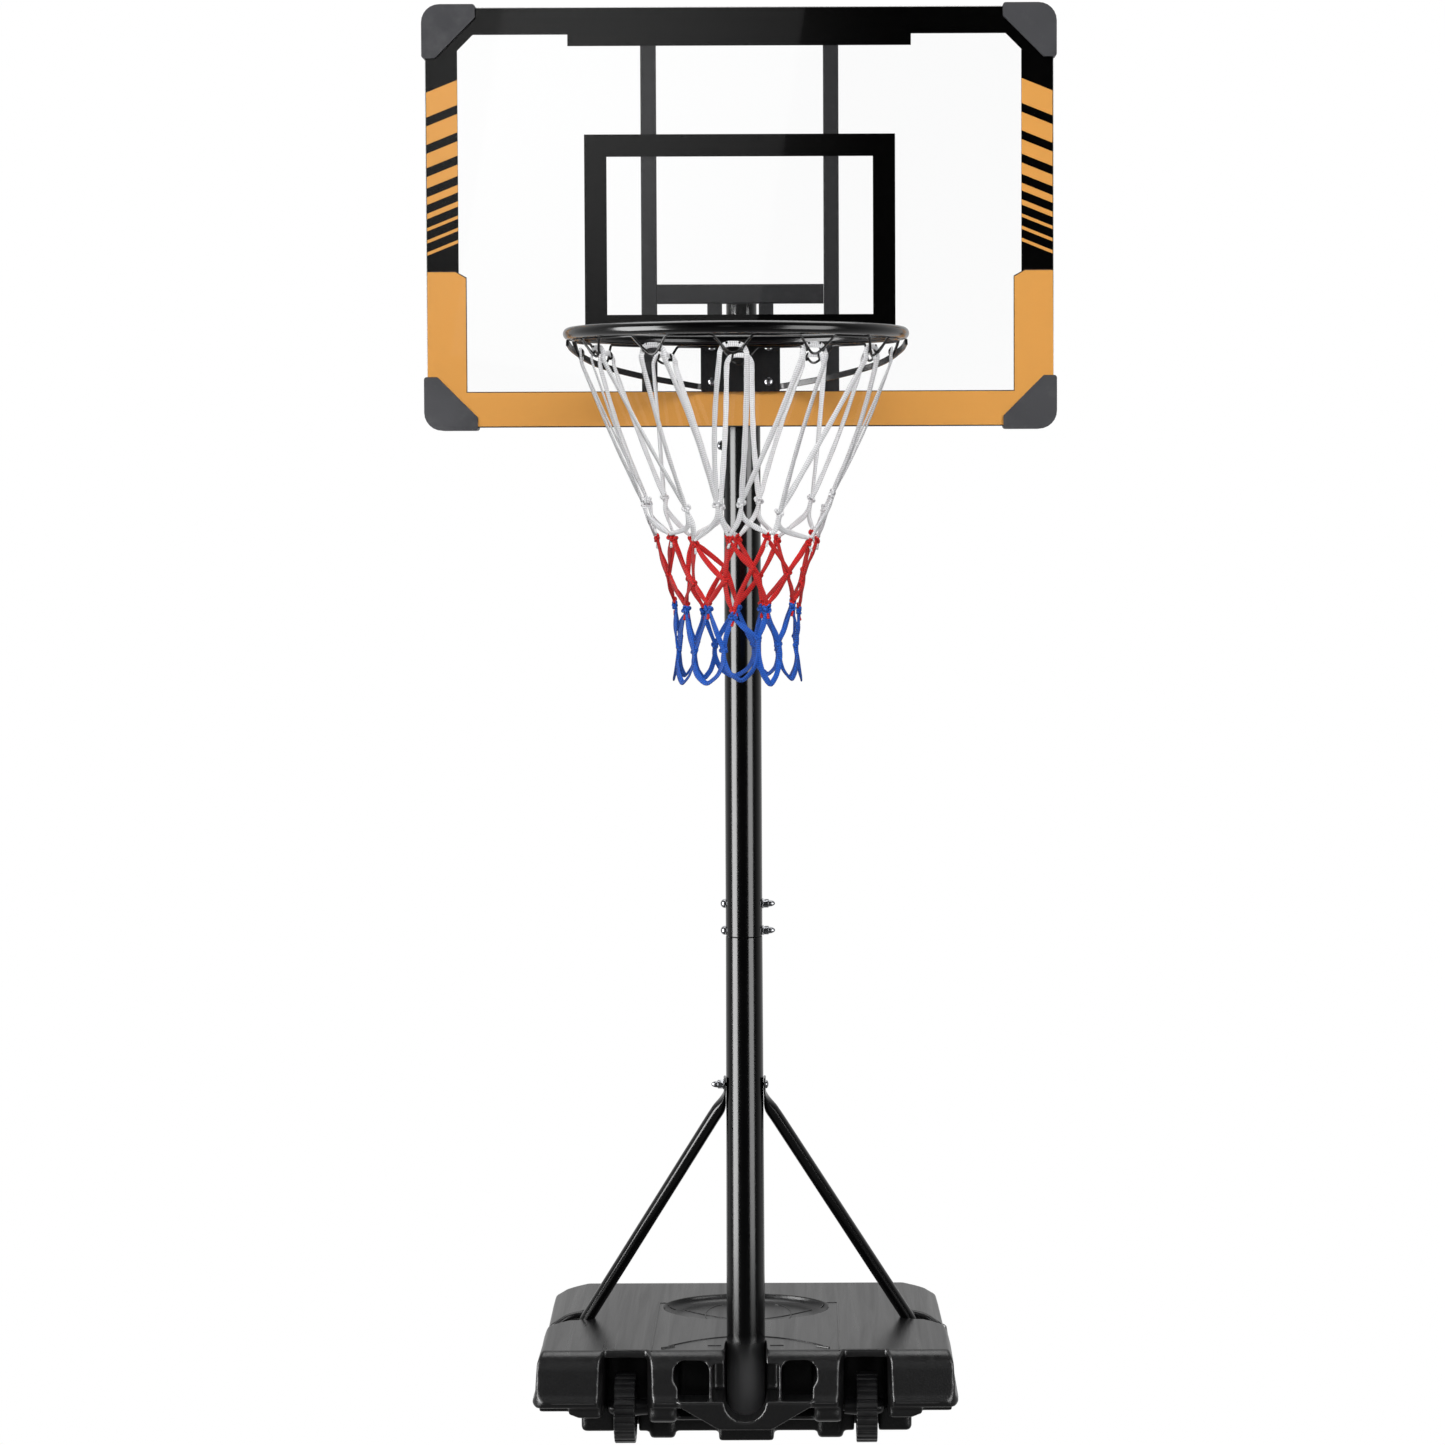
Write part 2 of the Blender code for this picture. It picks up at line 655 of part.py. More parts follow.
def foot_screw(word, side, steel):
    seat = POCKET_FLOOR + GAP + FOOT_PLATE + GAP
    place = (side * FOOT_SCREW.x, FOOT_SCREW.y, seat)
    profile = [(0, 0.0032), (0.0022, 0.0030), (0.0032, 0.0015), (0.0032, 0.0), (0.0024, -0.0002),
               (0.0024, -0.0086),
               (0, -0.0092)]
    return turned(f"foot_bolt_{word}", profile, place, "Z", steel, steps=12)


# ------------------------------------------------------------------ board
def tube_bar(name, low, high, along, finish):
    """A thin-walled rectangular tube, open at both ends."""
    bar = box(name, low, high, finish)
    inner_low = list(low)
    inner_high = list(high)
    for axis in range(3):
        step = -0.02 if axis == along else FRAME_WALL
        inner_low[axis] += step
        inner_high[axis] -= step
    return cut(bar, box(f"{name}_bore", inner_low, inner_high))


def rim_bolt_holes():
    holes = []
    for word, height in RIM_BOLT_Z.items():
        for side in (-1, 1):
            place = (side * RIM_BOLT_X, -0.12, height)
            holes.append(cylinder(f"rim_bolt_hole_{word}_{side}", place, "Y", 0.08, BOLT_HOLE, sides=12))
    return holes


def board_frame(paint, holes):
    half = BOARD_WIDTH / 2
    front, back = FRAME_FRONT, FRAME_BACK
    inner_low = BOARD_BOTTOM + FRAME_TUBE + GAP
    inner_high = BOARD_TOP - FRAME_TUBE - GAP
    frame = {
        "frame_top": tube_bar("frame_top", (-half, front, BOARD_TOP - FRAME_TUBE), (half, back, BOARD_TOP),
                              0, paint),
        "frame_bottom": tube_bar(
            "frame_bottom", (-half, front, BOARD_BOTTOM), (half, back, BOARD_BOTTOM + FRAME_TUBE), 0, paint
        ),
    }
    outline = rounded_rectangle(half, BOARD_BOTTOM, BOARD_TOP, BOARD_CORNER)
    corners = prism("frame_corners", outline, front - 0.05, back + 0.05, "Y")
    for bar in frame.values():
        combine(bar, corners, "INTERSECT")
    for word, side in (("left", -1), ("right", 1)):
        low, high = sorted((side * half, side * (half - FRAME_TUBE)))
        frame[f"frame_{word}"] = tube_bar(
            f"frame_{word}", (low, front, inner_low), (high, back, inner_high), 2, paint
        )
        low, high = sorted((side * (RAIL_X - RAIL_WIDTH / 2), side * (RAIL_X + RAIL_WIDTH / 2)))
        frame[f"rail_{word}"] = tube_bar(f"rail_{word}", (low, front, inner_low), (high, back, inner_high),
                                         2, paint)
        low, high = sorted((side * POST_INNER, side * POST_OUTER))
        frame[f"post_{word}"] = tube_bar(
            f"post_{word}", (low, front, inner_low), (high, back, CROSS_BOTTOM - GAP), 2, paint
        )
        cut(frame[f"post_{word}"], *holes)
    reach = RAIL_X - RAIL_WIDTH / 2 - GAP
    frame["cross_rail"] = tube_bar("cross_rail", (-reach, front, CROSS_BOTTOM), (reach, back, CROSS_TOP),
                                   0, paint)
    return list(frame.values())


def backboard_panel(clear, holes):
    outline = rounded_rectangle(BOARD_WIDTH / 2, BOARD_BOTTOM, BOARD_TOP, BOARD_CORNER)
    panel = prism("backboard_panel", outline, BOARD_FRONT, BOARD_FRONT + PANEL_THICKNESS, "Y", clear)
    return cut(panel, *holes)


def corner_pads(rubber):
    """Caps that wrap the board's corners, rounded outside and cut off diagonally inside."""
    clear = 0.0004
    pocket_outline = rounded_rectangle(
        BOARD_WIDTH / 2 + clear, BOARD_BOTTOM - clear, BOARD_TOP + clear, BOARD_CORNER + clear
    )
    pocket = prism("pad_pocket", pocket_outline, BOARD_FRONT - clear, FRAME_BACK + clear, "Y")
    pads = []
    middle = (BOARD_BOTTOM + BOARD_TOP) / 2
    for up, row in ((1, "top"), (-1, "bottom")):
        for side, word in ((-1, "left"), (1, "right")):
            corner_x = BOARD_WIDTH / 2 + PAD_PROUD
            corner_z = BOARD_HEIGHT / 2 + PAD_PROUD
            arc = []
            for step in range(7):
                angle = step / 6 * math.pi / 2
                arc.append((corner_x - PAD_CORNER + PAD_CORNER * math.cos(angle),
                            corner_z - PAD_CORNER + PAD_CORNER * math.sin(angle)))
            quarter = [(corner_x, corner_z - PAD_LEG)] + arc + [
                (corner_x - PAD_LEG, corner_z), (corner_x - PAD_LEG, corner_z - PAD_END),
                (corner_x - PAD_END, corner_z - PAD_LEG)]
            outline = [(side * x, middle + up * z) for x, z in quarter]
            if side * up < 0:
                outline.reverse()
            pad = prism(f"corner_pad_{row}_{word}", outline, BOARD_FRONT - 0.0045, FRAME_BACK + 0.004, "Y",
                        rubber)
            edges = pad.modifiers.new("edges", "BEVEL")
            edges.width = 0.002
            edges.segments = 1
            edges.limit_method = "ANGLE"
            edges.angle_limit = math.radians(60)
            pads.append(cut(pad, pocket))
    return pads


def pole_brackets(paint, steel):
    """Plates between the board's posts and the upper tube, with two through bolts."""
    made = []
    inner = UPPER_RADIUS + 0.0005
    outer = inner + BRACKET_THICKNESS
    for word, side in (("left", -1), ("right", 1)):
        outline = [
            (FRAME_FRONT, BRACKET_BOTTOM), (0.012, BRACKET_BOTTOM), (0.026, BRACKET_BOTTOM + 0.014),
            (0.026, BRACKET_TOP - 0.014), (0.012, BRACKET_TOP), (FRAME_FRONT, BRACKET_TOP),
        ]
        low, high = sorted((side * inner, side * outer))
        plate = prism(f"bracket_{word}", outline, low, high, "X", paint)
        for level, height in BRACKET_BOLT_Z.items():
            hole = cylinder(f"bracket_plate_hole_{word}_{level}", (-0.06, 0, height), "X", 0.12, BOLT_HOLE)
            cut(plate, hole)
        made.append(plate)
    seat = outer + GAP
    for level, height in BRACKET_BOLT_Z.items():
        made.append(bolt(f"bracket_bolt_{level}", (-seat, 0, height), "X", 2 * seat + 0.008, steel))
        made.append(nut(f"bracket_nut_{level}", (seat, 0, height), "X", steel))
    return made


# ------------------------------------------------------------------ rim and net
def around_rim(angle, radius, height):
    """A point about the rim's axis; angle 0 is the rim's front."""
    return (radius * math.sin(angle), RIM_CENTRE_Y - radius * math.cos(angle), height)


def torus(name, tube_radius, finish=None, around=40, about=10):
    profile = []
    for step in range(about):
        angle = -step / about * math.tau
        profile.append((RIM_RADIUS + tube_radius * math.cos(angle), tube_radius * math.sin(angle)))
    return turned(name, profile, (0, RIM_CENTRE_Y, RIM_Z), "Z", finish, closed=True, steps=around)


def rim_parts(paint, steel, holes):
    rim = torus("rim_ring", RIM_TUBE, paint)
    plate = box("rim_plate", (-PLATE_HALF, PLATE_FRONT, PLATE_BOTTOM), (PLATE_HALF, PLATE_BACK, PLATE_TOP),
                paint)
    cut(plate, *holes)
    neck_rear = PLATE_FRONT - GAP
    neck = box("rim_neck", (-NECK_HALF, -0.175, RIM_Z - 0.008), (NECK_HALF, neck_rear, RIM_Z + 0.008),
               paint)
    hollow_low = (NECK_WALL - NECK_HALF, -0.150, RIM_Z - 0.03)
    hollow_high = (NECK_HALF - NECK_WALL, neck_rear - NECK_WALL, RIM_Z + 0.005)
    bend = box("neck_hollow", hollow_low, hollow_high)
    cut(neck, bend, torus("neck_saddle", RIM_TUBE + 0.0004))
    inside = cylinder("neck_inside", (0, RIM_CENTRE_Y, RIM_Z - 0.05), "Z", 0.1, RIM_RADIUS, sides=48)
    cut(neck, inside)
    made = [rim, plate, neck]
    for word, side in (("left", -1), ("right", 1)):
        made.append(rim_brace(word, side, paint))
    wire_ring = wire("net_hook_wire", hook_points(), HOOK_WIRE, paint, cyclic=True, resolution=1)
    made.append(wire_ring)
    seat = PLATE_FRONT - GAP
    for level, height in RIM_BOLT_Z.items():
        for word, side in (("left", -1), ("right", 1)):
            place = (side * RIM_BOLT_X, seat, height)
            made.append(bolt(f"rim_bolt_{level}_{word}", place, "Y", 0.034, steel, head_height=0.0038))
    return made


def rim_brace(word, side, paint):
    """A bar from the plate's lower corner, out and forward, to the side of the rim."""
    end = around_rim(math.radians(100), RIM_RADIUS + 0.009, RIM_Z - 0.0100)
    stops = [Vector((0.051, PLATE_FRONT - 0.0044, RIM_Z - 0.0630)), Vector((0.072, -0.112, RIM_Z - 0.0600)),
             Vector((0.138, -0.165, RIM_Z - 0.0495)), Vector((0.196, -0.235, RIM_Z - 0.0350)), Vector(end)]
    points = []
    for start, stop in zip(stops, stops[1:]):
        points.append(start)
        points.append(start.lerp(stop, 0.5))
    points.append(stops[-1])
    return wire(f"rim_brace_{word}", [(side * p.x, p.y, p.z) for p in points], 0.004, paint)


def hook_points():
    """The wire under the rim, which dips into a V at each of the twelve net hooks."""
    radius = RIM_RADIUS - 0.005
    level = RIM_Z - 0.0103
    dip = [(-7.2, 0.0, 0.0), (-4.6, 0.003, 0.009), (-1.4, 0.010, 0.0225), (1.4, 0.010, 0.0225),
           (4.6, 0.003, 0.009),
           (7.2, 0.0, 0.0)]
    points = []
    for hook in range(HOOK_COUNT):
        middle = hook * 360 / HOOK_COUNT
        for turn, inward, drop in dip:
            points.append(around_rim(math.radians(middle + turn), radius - inward, level - drop))
        points.append(around_rim(math.radians(middle + 15), radius, level))
    return points


def net_course(name, stops, finish):
    """One course of the net as a thin open sleeve. stops are (radius, drop below the rim), downward."""
    outer = [(radius, -drop) for radius, drop in stops]
    inner = [(radius - NET_CORD, height) for radius, height in reversed(outer)]
    return turned(name, outer + inner, (0, RIM_CENTRE_Y, RIM_Z), "Z", finish, closed=True, steps=ROUND)


def net(white, red, blue):
    white_stops = [(0.2140, 0.036), (0.190, 0.116), (0.150, 0.201), (0.118, 0.261)]
    red_stops = [(0.1175, 0.2615), (0.100, 0.311), (0.088, 0.361)]
    blue_stops = [(0.0875, 0.3615), (0.085, 0.416), (0.088, 0.468)]
    return [
        net_course("net_white", white_stops, white),
        net_course("net_red", red_stops, red),
        net_course("net_blue", blue_stops, blue),
    ]


# ------------------------------------------------------------------ the whole hoop
def main():
    clear_scene()
    paint = material("black_powder_coat", (0.018, 0.018, 0.020), 0.32, 0.2)
    tank_plastic = material("tank_plastic", (0.030, 0.030, 0.031), 0.55, 0.0)
    wheel_plastic = material("wheel_plastic", (0.022, 0.022, 0.023), 0.5, 0.0)
    clear = material("clear_panel", (0.95, 0.96, 0.97), 0.05, 0.0, 0.25)
    pad_rubber = material("pad_rubber", (0.050, 0.052, 0.060), 0.7, 0.0)
    dark_plastic = material("dark_plastic", (0.020, 0.020, 0.022), 0.5, 0.0)
    zinc = material("zinc_steel", (0.72, 0.73, 0.75), 0.25, 1.0)
    water = material("ballast_water", (0.30, 0.45, 0.50), 0.1, 0.0)
    seal_rubber = material("seal_rubber", (0.03, 0.03, 0.03), 0.85, 0.0)
    white = material("net_white_cord", (0.85, 0.84, 0.83), 0.8, 0.0)
    red = material("net_red_cord", (0.68, 0.02, 0.02), 0.8, 0.0)
    blue = material("net_blue_cord", (0.01, 0.10, 0.50), 0.8, 0.0)

    base_tank(tank_plastic)
    water_ballast(water)
    cap, seal = fill_plug(dark_plastic, seal_rubber)
    hang_on(joint_axis("fill_cap_axis", (CAP_X, CAP_FACE_Y, CAP_Z)), [cap, seal])
    for word, side in (("left", -1), ("right", 1)):
        wheel_set(word, side, wheel_plastic, dark_plastic)
        brace(word, side, paint)
        foot_screw(word, side, zinc)
    wheel_axle(paint)
    lower, middle, upper = pole_tubes(paint)
    guide_bush(dark_plastic)
    pole_fasteners(zinc, zinc)

    holes = rim_bolt_holes()
    carriage = [upper, pole_cap(dark_plastic), backboard_panel(clear, holes)]
    carriage += board_frame(paint, holes)
    carriage += corner_pads(pad_rubber)
    carriage += pole_brackets(paint, zinc)
    carriage += rim_parts(paint, zinc, holes)
    carriage += net(white, red, blue)
    hang_on(joint_axis("height_slide_axis", (0, 0, MIDDLE_TOP)), carriage)
    for made in bpy.data.collections[PARTS_NAME].objects:
        if made.type == "MESH":
            smooth(made)


main()
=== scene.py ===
import json
import math

import bmesh
import bpy
import numpy as np
from mathutils import Matrix, Vector
from mathutils.bvhtree import BVHTree


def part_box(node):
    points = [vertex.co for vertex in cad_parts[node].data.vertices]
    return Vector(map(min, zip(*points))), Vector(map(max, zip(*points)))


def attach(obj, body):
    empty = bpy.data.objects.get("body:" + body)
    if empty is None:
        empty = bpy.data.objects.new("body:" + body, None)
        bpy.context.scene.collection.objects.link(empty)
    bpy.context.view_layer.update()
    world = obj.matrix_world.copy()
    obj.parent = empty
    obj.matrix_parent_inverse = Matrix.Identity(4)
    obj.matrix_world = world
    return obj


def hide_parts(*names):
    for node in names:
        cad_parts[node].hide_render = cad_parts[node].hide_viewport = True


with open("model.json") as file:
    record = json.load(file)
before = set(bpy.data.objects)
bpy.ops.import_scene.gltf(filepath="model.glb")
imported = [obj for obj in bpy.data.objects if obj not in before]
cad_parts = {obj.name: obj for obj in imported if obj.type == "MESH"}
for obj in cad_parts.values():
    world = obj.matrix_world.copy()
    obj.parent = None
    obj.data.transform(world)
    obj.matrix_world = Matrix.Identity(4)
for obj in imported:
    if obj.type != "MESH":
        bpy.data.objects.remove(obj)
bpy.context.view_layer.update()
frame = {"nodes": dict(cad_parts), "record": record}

# ------------------------------------------------------------------ sizes read from the frame
BOARD_LOW, BOARD_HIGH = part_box("backboard_panel")
BOARD_HALF = BOARD_HIGH.x
FRAME_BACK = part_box("frame_top")[1].y
RIM_LOW, RIM_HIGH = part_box("rim_ring")
RIM_CENTRE = (RIM_LOW + RIM_HIGH) / 2
RIM_TUBE = (RIM_HIGH.z - RIM_LOW.z) / 2
RIM_RADIUS = RIM_HIGH.x - RIM_TUBE
PLATE_LOW, PLATE_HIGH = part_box("rim_plate")
TANK_LOW, TANK_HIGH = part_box("base_tank")
TANK_HALF = TANK_HIGH.x
POLE_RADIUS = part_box("pole_lower")[1].x
UPPER_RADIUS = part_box("pole_upper")[1].x
SEAM_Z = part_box("pole_middle")[0].z
NET_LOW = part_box("net_blue")[0].z

# ------------------------------------------------------------------ sizes shared by several pieces, in metres
PARTING_Z = 0.078
BOLT_HOLE = 0.0034
BOARD_CORNER = 0.020
DISH_Y = 0.210
HOOKS = 12
SIDES = (("left", -1), ("right", 1))

# Meshes with more faces than this are smooth enough without weighted normals.
WEIGHTED_LIMIT = 30000


# ------------------------------------------------------------------ node trees
class Nodes:
    """A node tree that grows by short calls."""

    def __init__(self, tree):
        self.tree = tree

    def node(self, kind, **inputs):
        made = self.tree.nodes.new("ShaderNode" + kind)
        for key, value in inputs.items():
            self.feed(made.inputs[key], value)
        return made

    def feed(self, socket, value):
        if isinstance(value, bpy.types.NodeSocket):
            self.tree.links.new(value, socket)
        else:
            socket.default_value = value

    def feed_all(self, made, values):
        """Feeds a node's sockets in their order, and gives its output."""
        for socket, value in zip(made.inputs, values):
            self.feed(socket, value)
        return made.outputs[0]

    def span(self, value, low, high, start=0.0, end=1.0):
        """Maps the range from start to end onto the range from low to high."""
        made = self.node("MapRange", Value=value)
        for socket, number in (("From Min", start), ("From Max", end), ("To Min", low), ("To Max", high)):
            made.inputs[socket].default_value = number
        return made.outputs["Result"]

    def maths(self, operation, *values):
        made = self.node("Math")
        made.operation = operation
        return self.feed_all(made, values)

    def mixed(self, factor, first, second):
        """A shader between two others."""
        return self.feed_all(self.node("MixShader"), (factor, first, second))

    def blend_colours(self, factor, first, second):
        """A colour between two others, each a triple or the output of another node."""
        made = self.node("Mix")
        made.data_type = "RGBA"
        self.feed(made.inputs["Factor"], factor)
        for key, colour in (("A", first), ("B", second)):
            self.feed(made.inputs[key], (*colour, 1) if isinstance(colour, tuple) else colour)
        return made.outputs["Result"]


# ------------------------------------------------------------------ camera, lights and stage
def make_camera():
    """At eye height in front of the board, tilted a little down, with a little shift."""
    lens = bpy.data.cameras.new("camera")
    lens.sensor_width = 36
    lens.lens = 84.05
    lens.shift_x = -0.0567
    lens.shift_y = -0.075
    camera = bpy.data.objects.new("camera", lens)
    camera.location = (0.0906, -4.9476, 1.4323)
    camera.rotation_euler = (math.radians(90 - 2.363), 0, 0)
    camera.rotation_euler.rotate_axis("Z", math.radians(-0.21))
    bpy.context.scene.collection.objects.link(camera)
    bpy.context.scene.camera = camera


def area_light(name, place, aim, size, power):
    """A rectangular light at a place, turned towards its aim."""
    light = bpy.data.lights.new(name, "AREA")
    light.shape = "RECTANGLE"
    light.size, light.size_y = size
    light.energy = power
    made = bpy.data.objects.new(name, light)
    made.location = place
    made.rotation_euler = (Vector(aim) - Vector(place)).to_track_quat("-Z", "Y").to_euler()
    bpy.context.scene.collection.objects.link(made)
    return made


def make_lights():
    """Tall strips for the pole's highlights, a card for the board's gloss, a soft top light, and from the
    front a fill and a wash that nothing mirrors."""
    strips = [
        area_light("strip_left", (-2.49, -1.47, 1.05), (0, 0, 1.05), (1.70, 3.0), 205),
        area_light("strip_right", (2.21, -2.21, 1.05), (0, 0, 1.05), (1.65, 3.0), 90),
    ]
    for strip in strips:
        strip.visible_diffuse = False
    card = area_light("board_card", (-0.485, -6.6, 2.50), (-0.485, 0, 2.50), (1.00, 1.5), 1.45)
    card.rotation_euler.rotate_axis("Z", math.radians(-9))
    area_light("top", (0, 0.6, 3.6), (0, 0, 0.6), (2.4, 2.0), 46)
    fill = area_light("front_fill", (0.6, -4.6, 3.6), (0, 0, 1.0), (2.6, 1.4), 62)
    wash = area_light("front_wash", (0, -4.4, 2.9), (0, 0, 1.2), (6.0, 4.0), 202)
    for light in (fill, wash):
        light.visible_glossy = False


def make_world():
    """White where the camera looks past the object. What the surfaces mirror is softer: a ramp that is
    brighter behind the object than in front of it, a faint band low down, and a round glow in front."""
    world = bpy.data.worlds.new("studio")
    bpy.context.scene.world = world
    world.use_nodes = True
    world.node_tree.nodes.clear()
    sky = Nodes(world.node_tree)
    way = sky.node("TexCoord").outputs["Generated"]
    parts = sky.node("SeparateXYZ", Vector=way).outputs
    ramp = sky.span(parts["Y"], 0.010, 0.70, -0.35, 0.75)
    low_band = sky.span(parts["Z"], 0.10, 0.0, -0.30, -0.22)
    toward = sky.node("VectorMath")
    toward.operation = "DOT_PRODUCT"
    sky.feed(toward.inputs[0], way)
    toward.inputs[1].default_value = Vector((-0.0887, -0.9887, 0.1215)).normalized()
    glow = sky.maths("POWER", sky.span(toward.outputs["Value"], 0, 1, math.cos(0.12), 1.0), 2.2)
    strength = sky.maths("MULTIPLY_ADD", glow, 0.74, sky.maths("ADD", ramp, low_band))
    lit = sky.node("Background", Color=(1, 1, 1, 1), Strength=strength)
    seen = sky.node("Background", Color=(1, 1, 1, 1))
    camera_ray = sky.node("LightPath").outputs["Is Camera Ray"]
    sky.node("OutputWorld", Surface=sky.mixed(camera_ray, lit.outputs[0], seen.outputs[0]))


def make_floor():
    """A plain white sheet that adds no light of its own to what stands on it."""
    finish = bpy.data.materials.new("floor_white")
    finish.use_nodes = True
    finish.node_tree.nodes.clear()
    white = Nodes(finish.node_tree)
    white.node("OutputMaterial", Surface=white.node("Emission").outputs[0])
    mesh = bpy.data.meshes.new("floor")
    half = 30
    corners = [(-half, -half, 0), (half, -half, 0), (half, half, 0), (-half, half, 0)]
    mesh.from_pydata(corners, [], [(0, 1, 2, 3)])
    mesh.materials.append(finish)
    floor = bpy.data.objects.new("floor", mesh)
    floor.visible_diffuse = False
    floor.visible_glossy = False
    floor.visible_shadow = False
    bpy.context.scene.collection.objects.link(floor)


# ------------------------------------------------------------------ materials
class Finish(Nodes):
    """A Principled material."""

    def __init__(self, name, colour, roughness, metallic=0.0):
        self.material = bpy.data.materials.new(name)
        self.material.use_nodes = True
        super().__init__(self.material.node_tree)
        self.shader = self.tree.nodes["Principled BSDF"]
        self.set("Base Color", (*colour, 1))
        self.set("Roughness", roughness)
        self.set("Metallic", metallic)
        self.place = self.node("TexCoord").outputs["Object"]

    def set(self, socket, value):
        self.feed(self.shader.inputs[socket], value)

    def source(self, socket):
        return self.shader.inputs[socket].links[0].from_socket

    def stretched(self, scale):
        made = self.node("Mapping", Vector=self.place)
        made.inputs["Scale"].default_value = scale
        return made.outputs[0]

    def noise(self, scale, detail=3, roughness=0.5, place=None, distortion=0.0):
        made = self.node("TexNoise", Vector=place or self.place, Scale=scale, Detail=detail,
                         Roughness=roughness, Distortion=distortion)
        return made.outputs["Fac"]

    def wander(self, pattern, low, high):
        """Roughness that goes from low to high with a pattern."""
        self.set("Roughness", self.span(pattern, low, high, 0.3, 0.7))

    def tint(self, pattern, first, second):
        """Base colour that goes from the first to the second with a pattern."""
        self.set("Base Color", self.blend_colours(pattern, first, second))

    def bump(self, height, strength, distance):
        self.set("Normal", self.node("Bump", Height=height, Strength=strength, Distance=distance).outputs[0])


def powder_coat(name="powder_coat", colour=(0.0075, 0.0075, 0.0082), roughness=0.24, shine=0.5):
    """Black powder coat: a fine orange peel, and gloss that wanders a little."""
    finish = Finish(name, colour, roughness)
    finish.set("Specular IOR Level", shine)
    finish.wander(finish.noise(9, 4, 0.6), roughness - 0.02, roughness + 0.03)
    dust = finish.span(finish.noise(60, 6, 0.7), 0, 1, 0.55, 0.8)
    lighter = tuple(min(1, value * 1.4 + 0.001) for value in colour)
    finish.tint(dust, colour, lighter)
    finish.bump(finish.noise(420, 2), 0.02, 0.0002)
    return finish


def paler_foot(finish, colour, roughness):
    """The pole's finish, made paler and rougher towards its foot, where it stands in the tank."""
    height = finish.node("SeparateXYZ", Vector=finish.place).outputs["Z"]
    low = finish.span(height, 1, 0, 0.112, 0.165)
    finish.tint(low, finish.source("Base Color"), colour)
    finish.set("Roughness", finish.maths("MULTIPLY_ADD", low, roughness, finish.source("Roughness")))


def tank_plastic():
    """Blow-moulded black plastic: a fine skin, and on the deck a wood-like grain from front to back."""
    finish = Finish("tank_plastic", (0.008, 0.008, 0.0085), 0.34)
    finish.set("Specular IOR Level", 0.55)
    grain = finish.noise(1.0, 6, 0.62, finish.stretched((62, 2.2, 62)), 0.9)
    fibre = finish.noise(1.0, 3, 0.5, finish.stretched((340, 14, 340)), 0.3)
    skin = finish.noise(700, 2)
    facing = finish.node("SeparateXYZ", Vector=finish.node("TexCoord").outputs["Normal"])
    deck = finish.span(facing.outputs["Z"], 0.12, 1, 0.35, 0.85)
    even = finish.maths("MULTIPLY_ADD", finish.maths("SUBTRACT", grain, 0.5), deck, 0.5)
    both = finish.maths("ADD", finish.maths("MULTIPLY", even, 0.8), finish.maths("MULTIPLY", fibre, 0.5))
    finish.wander(even, 0.25, 0.38)
    finish.tint(finish.span(both, 0, 1, 0.45, 0.85), (0.004, 0.004, 0.0043), (0.011, 0.011, 0.0115))
    finish.bump(finish.maths("ADD", both, finish.maths("MULTIPLY", skin, 0.12)), 0.35, 0.0011)
    return finish.material


def plain_plastic(name, colour, roughness, grain=900, depth=0.0002, wear=0.35):
    """Moulded plastic or rubber with a fine grain and paler scuffs."""
    finish = Finish(name, colour, roughness)
    scuff = finish.span(finish.noise(38, 7, 0.68), 0, 1, 0.52, 0.78)
    pale = 0.10
    lighter = tuple(value + (pale - value) * wear if value < pale else value * 1.15 for value in colour)
    finish.tint(scuff, colour, lighter)
    finish.wander(finish.noise(24, 3), roughness - 0.06, roughness + 0.1)
    finish.bump(finish.noise(grain, 2), 0.35, depth)
    return finish.material


def zinc():
    """Zinc plate gone a little dull, with faint turning marks."""
    finish = Finish("zinc_plate", (0.78, 0.79, 0.81), 0.2, 1.0)
    streak = finish.noise(1.0, 2, 0.5, finish.stretched((90, 1400, 1400)))
    finish.wander(streak, 0.14, 0.32)
    finish.tint(finish.noise(300, 3), (0.23, 0.235, 0.25), (0.36, 0.365, 0.38))
    finish.bump(streak, 0.08, 0.0001)
    return finish.material


def clear_sheet():
    """Polished clear plastic: mostly see-through, mirrored by Fresnel, with a breath of haze in patches."""
    finish = Finish("clear_sheet", (0.96, 0.97, 0.97), 0.02)
    clear = finish.node("BsdfTransparent", Color=(0.997, 0.998, 0.998, 1)).outputs[0]
    polish = finish.span(finish.noise(12, 3), 0.008, 0.03, 0.3, 0.7)
    gloss = finish.node("BsdfGlossy", Color=(1, 1, 1, 1), Roughness=polish).outputs[0]
    facing = finish.node("LayerWeight", Blend=0.5).outputs["Facing"]
    fresnel = finish.maths("MULTIPLY_ADD", finish.maths("POWER", facing, 5.0), 0.983, 0.017)
    patches = finish.span(finish.noise(3, 5, 0.6), 0.0, 0.0003, 0.3, 0.8)
    haze = finish.mixed(patches, clear, finish.shader.outputs[0])
    output = next(node for node in finish.tree.nodes if node.type == "OUTPUT_MATERIAL")
    finish.feed(output.inputs["Surface"], finish.mixed(fresnel, haze, gloss))
    return finish.material


def print_ink(name, colour):
    """Screen-printed ink: an even film with a faint mottle."""
    finish = Finish(name, colour, 0.45)
    finish.set("Specular IOR Level", 0.01)
    mottle = finish.noise(140, 4, 0.6)
    darker = tuple(value * 0.965 for value in colour)
    finish.tint(mottle, darker, colour)
    finish.wander(mottle, 0.40, 0.52)
    finish.bump(mottle, 0.05, 0.0001)
    return finish.material


